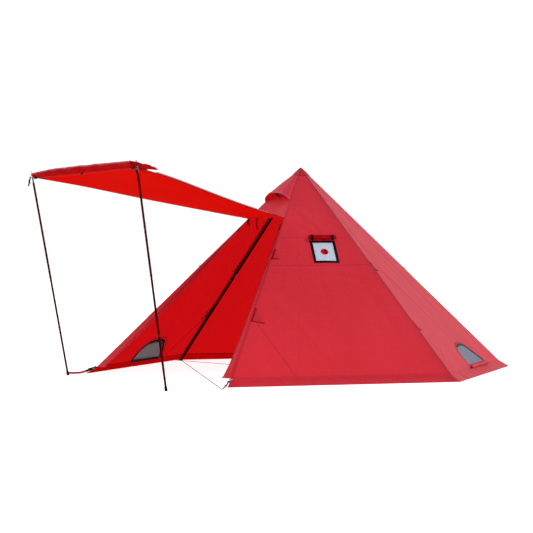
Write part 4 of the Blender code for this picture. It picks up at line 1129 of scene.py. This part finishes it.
# Corner patches with an eyelet round each pole's spike, toggles and straps at the awning's hem
hardware = {"poleTop": 0.846, "eyelet": 0.0065, "hole": 0.0045, "patch": 0.120, "beyond": 0.022,
            "toggle": 0.030, "toggleRadius": 0.0085}
toPhoto = Vector((0.64, -0.77, 0))   # loose straps turn their flat side to the photograph
for name, turn in (("left", -1), ("right", 1)):
    spike = Vector((turn * hardware["poleTop"], hemY, awning["height"] + 0.0024))
    outer = Vector((turn * (awning["hemHalf"] + hardware["beyond"]), hemY - 0.010, 0))

    def patchPoint(u, v):
        inward = Vector((-turn * (hardware["beyond"] + hardware["patch"] * u), 0, 0))
        back = Vector((-turn * 0.03 * v, (0.020 + hardware["patch"]) * v, 0))
        spot = outer + inward * (1 - 0.75 * v) + back
        share = min(1.0, (spot.y - (rootLine.y - tent["rootRoom"])) / (hemY - rootLine.y))
        across = max(-1, min(1, spot.x / awningHalf(share)))
        spot.z = awningPoint(share, across).z + 0.0022
        return spot

    patch = gridSheet(name + "CornerPatch", 10, 10, patchPoint, (0.12, 0.12))
    applied(patch, "SOLIDIFY", thickness=0.0012, offset=0)
    cutAway(patch, outlinePlate("cutter", circle(hardware["hole"], 20),
                                Matrix.Translation(spike), -0.02, 0.02))
    dress(patch, "patchCloth", body="door_awning")
    eyeletLine = [spike + Vector((x, y, 0.001)) for x, y in circle(hardware["eyelet"], 24)]
    dress(tubeAlong(name + "Eyelet", eyeletLine, 0.0018, closed=True), "zincSteel",
          body="door_awning")

# A strap with a buckle that hangs from the awning's left corner
hang = [Vector((-0.852 - 0.0010 * step + 0.002 * sin(step), hemY - 0.018 - 0.0014 * step,
                awning["height"] + 0.012 - 0.0082 * step)) for step in range(12)]
for name, finish, part in (("leftHemStrap", "redWebbing", hang[:7]),
                           ("leftHemStrapTail", "greyWebbing", hang[6:])):
    dress(ribbon(name, part, toPhoto, 0.014, 0.0014), finish, body="door_awning")
buckle = block("leftHemBuckle", (0.007, 0.017, 0.032))
applied(buckle, "BEVEL", width=0.002, segments=3)
buckle.data.transform(Matrix.Translation(hang[6]) @ Matrix.Rotation(radians(-40), 4, "Z"))
dress(buckle, "acetal", body="door_awning")

# and two short ones in front of the right pole's tip
for name, finish, high, low, wide in (("rightTipStrap", "redWebbing", 0.034, -0.012, 0.010),
                                      ("rightTipBuckle", "blackWebbing", -0.022, -0.052, 0.019)):
    line = [Vector((hardware["poleTop"] + 0.013 - 0.06 * rise, hemY - 0.013,
                    awning["height"] + rise))
            for rise in [high + (low - high) * share for share in shares(8)]]
    dress(ribbon(name, line, toPhoto, wide, 0.0016), finish, body="door_awning")

togglePieces, toggleLoops = [], []
for across, tilt in ((-0.945, 0), (0.0, 45), (0.957, 35)):
    centre = awningPoint(0.996, across) + Vector((0, -0.012, -0.007))
    deselect()
    bpy.ops.mesh.primitive_cylinder_add(vertices=20, radius=hardware["toggleRadius"],
                                        depth=hardware["toggle"], location=(0, 0, 0),
                                        rotation=(0, pi / 2, 0))
    toggle = bpy.context.object
    bpy.ops.object.transform_apply(location=False, rotation=True, scale=False)
    applied(toggle, "BEVEL", width=0.0016, segments=3)
    toggle.data.transform(Matrix.Translation(centre) @ Matrix.Rotation(radians(50), 4, "Z")
                          @ Matrix.Rotation(radians(-tilt), 4, "Y"))
    togglePieces.append(toggle)
    loop = [centre + Vector((0, 0.003 * sin(pi * share), 0.010 * share)) for share in shares(8)]
    toggleLoops.append(tubeAlong("toggleLoop", loop, 0.0012))
dress(joined("hemToggles", togglePieces), "acetal", body="door_awning")
dress(joined("hemToggleLoops", toggleLoops), "redCord", body="door_awning")

# tie-backs for the rolled door: a black pair of tapes at the root's end and a red loop beside it
for finish, ties in (("blackWebbing", ((-0.262, 0.060, 0.004, -0.010),
                                       (-0.250, 0.075, 0.006, 0.006))),
                     ("darkRedEdgeAndShade", ((-0.135, 0.110, 0.010, 0.004),
                                  (-0.118, 0.105, -0.006, 0.010)))):
    tieParts = []
    for x, drop, bow, lean in ties:
        high = awningPoint(0.01, x / awningHalf(0.01)).z - 0.003
        line = [Vector((x + lean * share + bow * sin(pi * share),
                        rootLine.y - 0.010 - 0.010 * sin(pi * share), high - drop * share))
                for share in shares(16)]
        tieParts.append(ribbon("tieBack", line, toPhoto, 0.010, 0.0014))
    dress(joined("tieBacks_" + finish, tieParts), finish, body="door_awning")

# A loose flap past the right pole: the hem skirt's end, which turns the corner and curls over
# the awning's near edge
zipFlap = {"ahead": 0.066, "length": 0.36, "height": 0.044, "lean": 0.016}


def zipFlapPoint(u, v):
    share = 1 + (zipFlap["ahead"] - zipFlap["length"] * u) / awningLength
    edge = awningPoint(share, 1.0)
    edge.z = max(edge.z, awning["height"] - 0.012)
    tall = zipFlap["height"] * (1 - 0.45 * smooth((u - 0.5) / 0.45)) * min(1.0, 9 * (1 - u) + 0.1)
    tall *= 0.78 + 0.22 * smooth(u / 0.3)
    fold = 0.008 * wave(u * 4, v * 1.5, 6.1) + 0.002 * wave(u * 13, v * 3, 2.2)
    curl = sin(pi * 0.8 * v)
    return edge + Vector((-0.014 - zipFlap["lean"] * curl + fold * v,
                          0.008 * wave(u * 5, v, 1.0) * v,
                          tall * v ** 0.8 + 0.6 * fold * v + 0.003))


# its pale pink top edge is a painted highlight
zipFlapEdge = [zipFlapPoint(share, 0.97) for share in shares(60)]
dress(ribbon("nearZipFlapEdge", zipFlapEdge, Vector((0.7, -0.3, 0.65)), 0.010, 0.0014),
      "paintedHighlightTurnedEdge", body="door_awning")
# the flap takes the darker hem cloth, partly painted shade
flapPiece = gridSheet("nearZipFlap", 10, 48, zipFlapPoint, (0.36, 0.05))
thicken(flapPiece)
dress(flapPiece, "paintedShadeBrimCloth", body="door_awning", angle=60)

# Ground straps at the door's corners, with a ladder buckle and a steel ring
corners = {"width": 0.018, "ring": 0.013, "wire": 0.002, "twistTo": Vector((0.6, -0.72, 0.35))}
for name, corner, peg, share, sag, upperLook, lowerLook, blocks in (
        ("right", "doorRight", cords["rightPeg"], 1.0, 0.0, "paleWebbing", "greyWebbing",
         [("Buckle", 0.095, 0.028), ("Keeper", 0.22, 0.018)]),
        ("left", "doorLeft", cords["leftPeg"], 1.3, 0.016, "blackWebbing", "redCord",
         [("Buckle", 0.06, 0.028)])):
    start = hem[corner] + Vector((0, 0, 0.0025))
    end = onGround(peg, 0.002)
    along = (end - start).normalized()
    sideways = along.cross(corners["twistTo"]).normalized()
    normal = sideways.cross(along).normalized()
    # the strap is twisted toward the front, and the slack one at the left sags to the ground
    width = corners["width"] * share
    line = []
    for step in range(25):
        spot = start.lerp(end, step / 24) + normal * 0.0006 * sin(step * 1.3)
        spot.z = max(spot.z - sag * sin(pi * step / 24), width / 2 if step else 0)
        line.append(spot)
    dress(ribbon(name + "CornerStrap", line[:10], normal, width, 0.0016), upperLook,
          nodes=[name + "_corner_strap"])
    dress(ribbon(name + "CornerStrapEnd", line[9:], normal, width * 0.85, 0.0016), lowerLook)
    turned = Matrix((along, sideways, normal)).transposed().to_4x4()
    for label, distance, wide in blocks:
        turned.translation = start + along * distance + Vector((0, 0, -sag * 0.5))
        buckle = block(name + "Corner" + label, (wide + 0.012, wide, 0.0065))
        for slotX in (-0.008, 0.008):
            cutAway(buckle, outlinePlate("cutter", boxOutline(0.004, wide - 0.008, slotX, 0),
                                         Matrix.Identity(4), -0.01, 0.01))
        applied(buckle, "BEVEL", width=0.0008, segments=2)
        buckle.data.transform(turned)
        dress(buckle, "acetal")
    ringCentre = start + along * 0.030 + normal * 0.004
    loop = [ringCentre + along * x + sideways * y for x, y in circle(corners["ring"], 32)]
    dress(tubeAlong(name + "CornerRing", loop, corners["wire"], closed=True), "zincSteel")

# Red rings over the joints of the awning poles: a short turned sleeve with two grooves
rings = {"radius": 0.0114, "inner": 0.0098, "groove": 0.0107, "half": 0.007,
         "grooveAt": 0.00308, "footFloor": 0.008, "tip": 0.0465, "gap": 0.0003, "sections": 4}
for name, turn, foot in (("right", 1, (1.026, -2.410)), ("left", -1, (-1.056, -2.064))):
    low = onGround(foot, 0)
    lean = Vector((turn * hardware["poleTop"], hemY, awning["height"])) - low
    span = (lean.length - rings["tip"] - rings["footFloor"] - 3 * rings["gap"]) / rings["sections"]
    turned = lean.to_track_quat("Z", "Y").to_matrix().to_4x4()
    half, inner, outer, sunk = [rings[key] for key in ("half", "inner", "radius", "groove")]
    profile = [(inner, -half), (outer - 0.0008, -half), (outer, -half + 0.0012)]
    for middle in (-rings["grooveAt"], rings["grooveAt"]):
        profile += [(outer, middle - 0.0012), (sunk, middle - 0.0004),
                    (sunk, middle + 0.0004), (outer, middle + 0.0012)]
    profile += [(outer, half - 0.0012), (outer - 0.0008, half), (inner, half)]

    def spot(u, v):
        radius, height = profile[round(v * (len(profile) - 1))]
        return Vector((radius * cos(2 * pi * u), radius * sin(2 * pi * u), height))

    sleeves = []
    for index in (1, 2, 3):
        sleeve = gridSheet("poleRing", len(profile) - 1, 28, spot, (0.07, 0.02))
        mergeDoubles(sleeve, 0.00002)
        bpy.ops.object.mode_set(mode="EDIT")
        bpy.ops.mesh.select_all(action="DESELECT")
        bpy.ops.mesh.select_non_manifold()
        bpy.ops.mesh.bridge_edge_loops()
        bpy.ops.mesh.select_all(action="SELECT")
        bpy.ops.mesh.normals_make_consistent(inside=False)
        bpy.ops.object.mode_set(mode="OBJECT")
        turned.translation = low + lean.normalized() * (rings["footFloor"]
                                                        + index * (span + rings["gap"]))
        sleeve.data.transform(turned)
        sleeves.append(sleeve)
    dress(joined(name + "PoleRings", sleeves), "poleRing", body=name + "_pole")

# Finishes of the pieces that keep the frame's own shape
kept = {"poleTube": ["pole_section_1", "pole_section_2", "pole_section_3", "pole_section_4"],
        "darkSteel": ["pole_tip"], "poleRubber": ["pole_foot"], "zincSteel": ["crown_pin"],
        "legTube": ["upper_leg", "lower_leg"], "rubber": ["leg_foot"],
        "acetal": ["leg_collar", "zip_slider"]}
looks = {f"{name}_{part}": finish for finish, parts in kept.items() for part in parts
         for name in ("right", "left")}
looks.update(crown_hub="acetal", hood_prop="acetal")
for part, finish in looks.items():
    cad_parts[part].material_slots[0].material = finishes[finish]
print("poles and legs finished")

# Pale studio: a white floor that keeps the shadow, a soft sun from behind on the right, a
# weaker one from the left in front of the door, and a pale sky
studio = {"floor": "#c4c4c4", "floorGlow": 0.92, "sky": 0.31, "seenSky": 1.02,
          "suns": [(1.62, 28, (46, 0, 126)), (1.0, 40, (52, 0, -45))]}
deselect()
bpy.ops.mesh.primitive_plane_add(size=240, location=(0, 0, -0.0005))
floor = named("studioFloor")


# 1 for rays from the camera, also by way of a gloss or through something clear, and 0 for others
def directRays(tree):
    rays = addNode(tree, "LightPath").outputs
    seen = addNode(tree, "Math", {"operation": "MAXIMUM"},
                   {0: rays["Is Camera Ray"], 1: rays["Is Glossy Ray"]})
    return addNode(tree, "Math", {"operation": "MAXIMUM"},
                   {0: seen, 1: rays["Is Transmission Ray"]})


floorMade, tree = newMaterial("paleStudioFloor")
dim = addNode(tree, "BsdfDiffuse", {"Color": linear(studio["floor"])})
glow = addNode(tree, "Emission", {"Color": (1, 1, 1, 1), "Strength": studio["floorGlow"]})
both = addNode(tree, "AddShader", None, {0: dim, 1: glow})
chosen = addNode(tree, "MixShader", None, {0: directRays(tree), 1: dim, 2: both})
addNode(tree, "OutputMaterial", None, {"Surface": chosen})
floor.data.materials.append(floorMade)

world = bpy.data.worlds.new("paleSky")
bpy.context.scene.world = world
world.use_nodes = True
tree = world.node_tree
tree.nodes.clear()
strength = addNode(tree, "MapRange", {"To Min": studio["sky"], "To Max": studio["seenSky"]},
                   {"Value": directRays(tree)})
sky = addNode(tree, "Background", {"Color": (1, 1, 1, 1)}, {"Strength": strength})
addNode(tree, "OutputWorld", None, {"Surface": sky})

for energy, spread, turn in studio["suns"]:
    bpy.ops.object.light_add(type="SUN", rotation=[radians(a) for a in turn])
    bpy.context.object.data.energy = energy
    bpy.context.object.data.angle = radians(spread)
bpy.context.scene.view_settings.view_transform = "Standard"
print("studio lit")
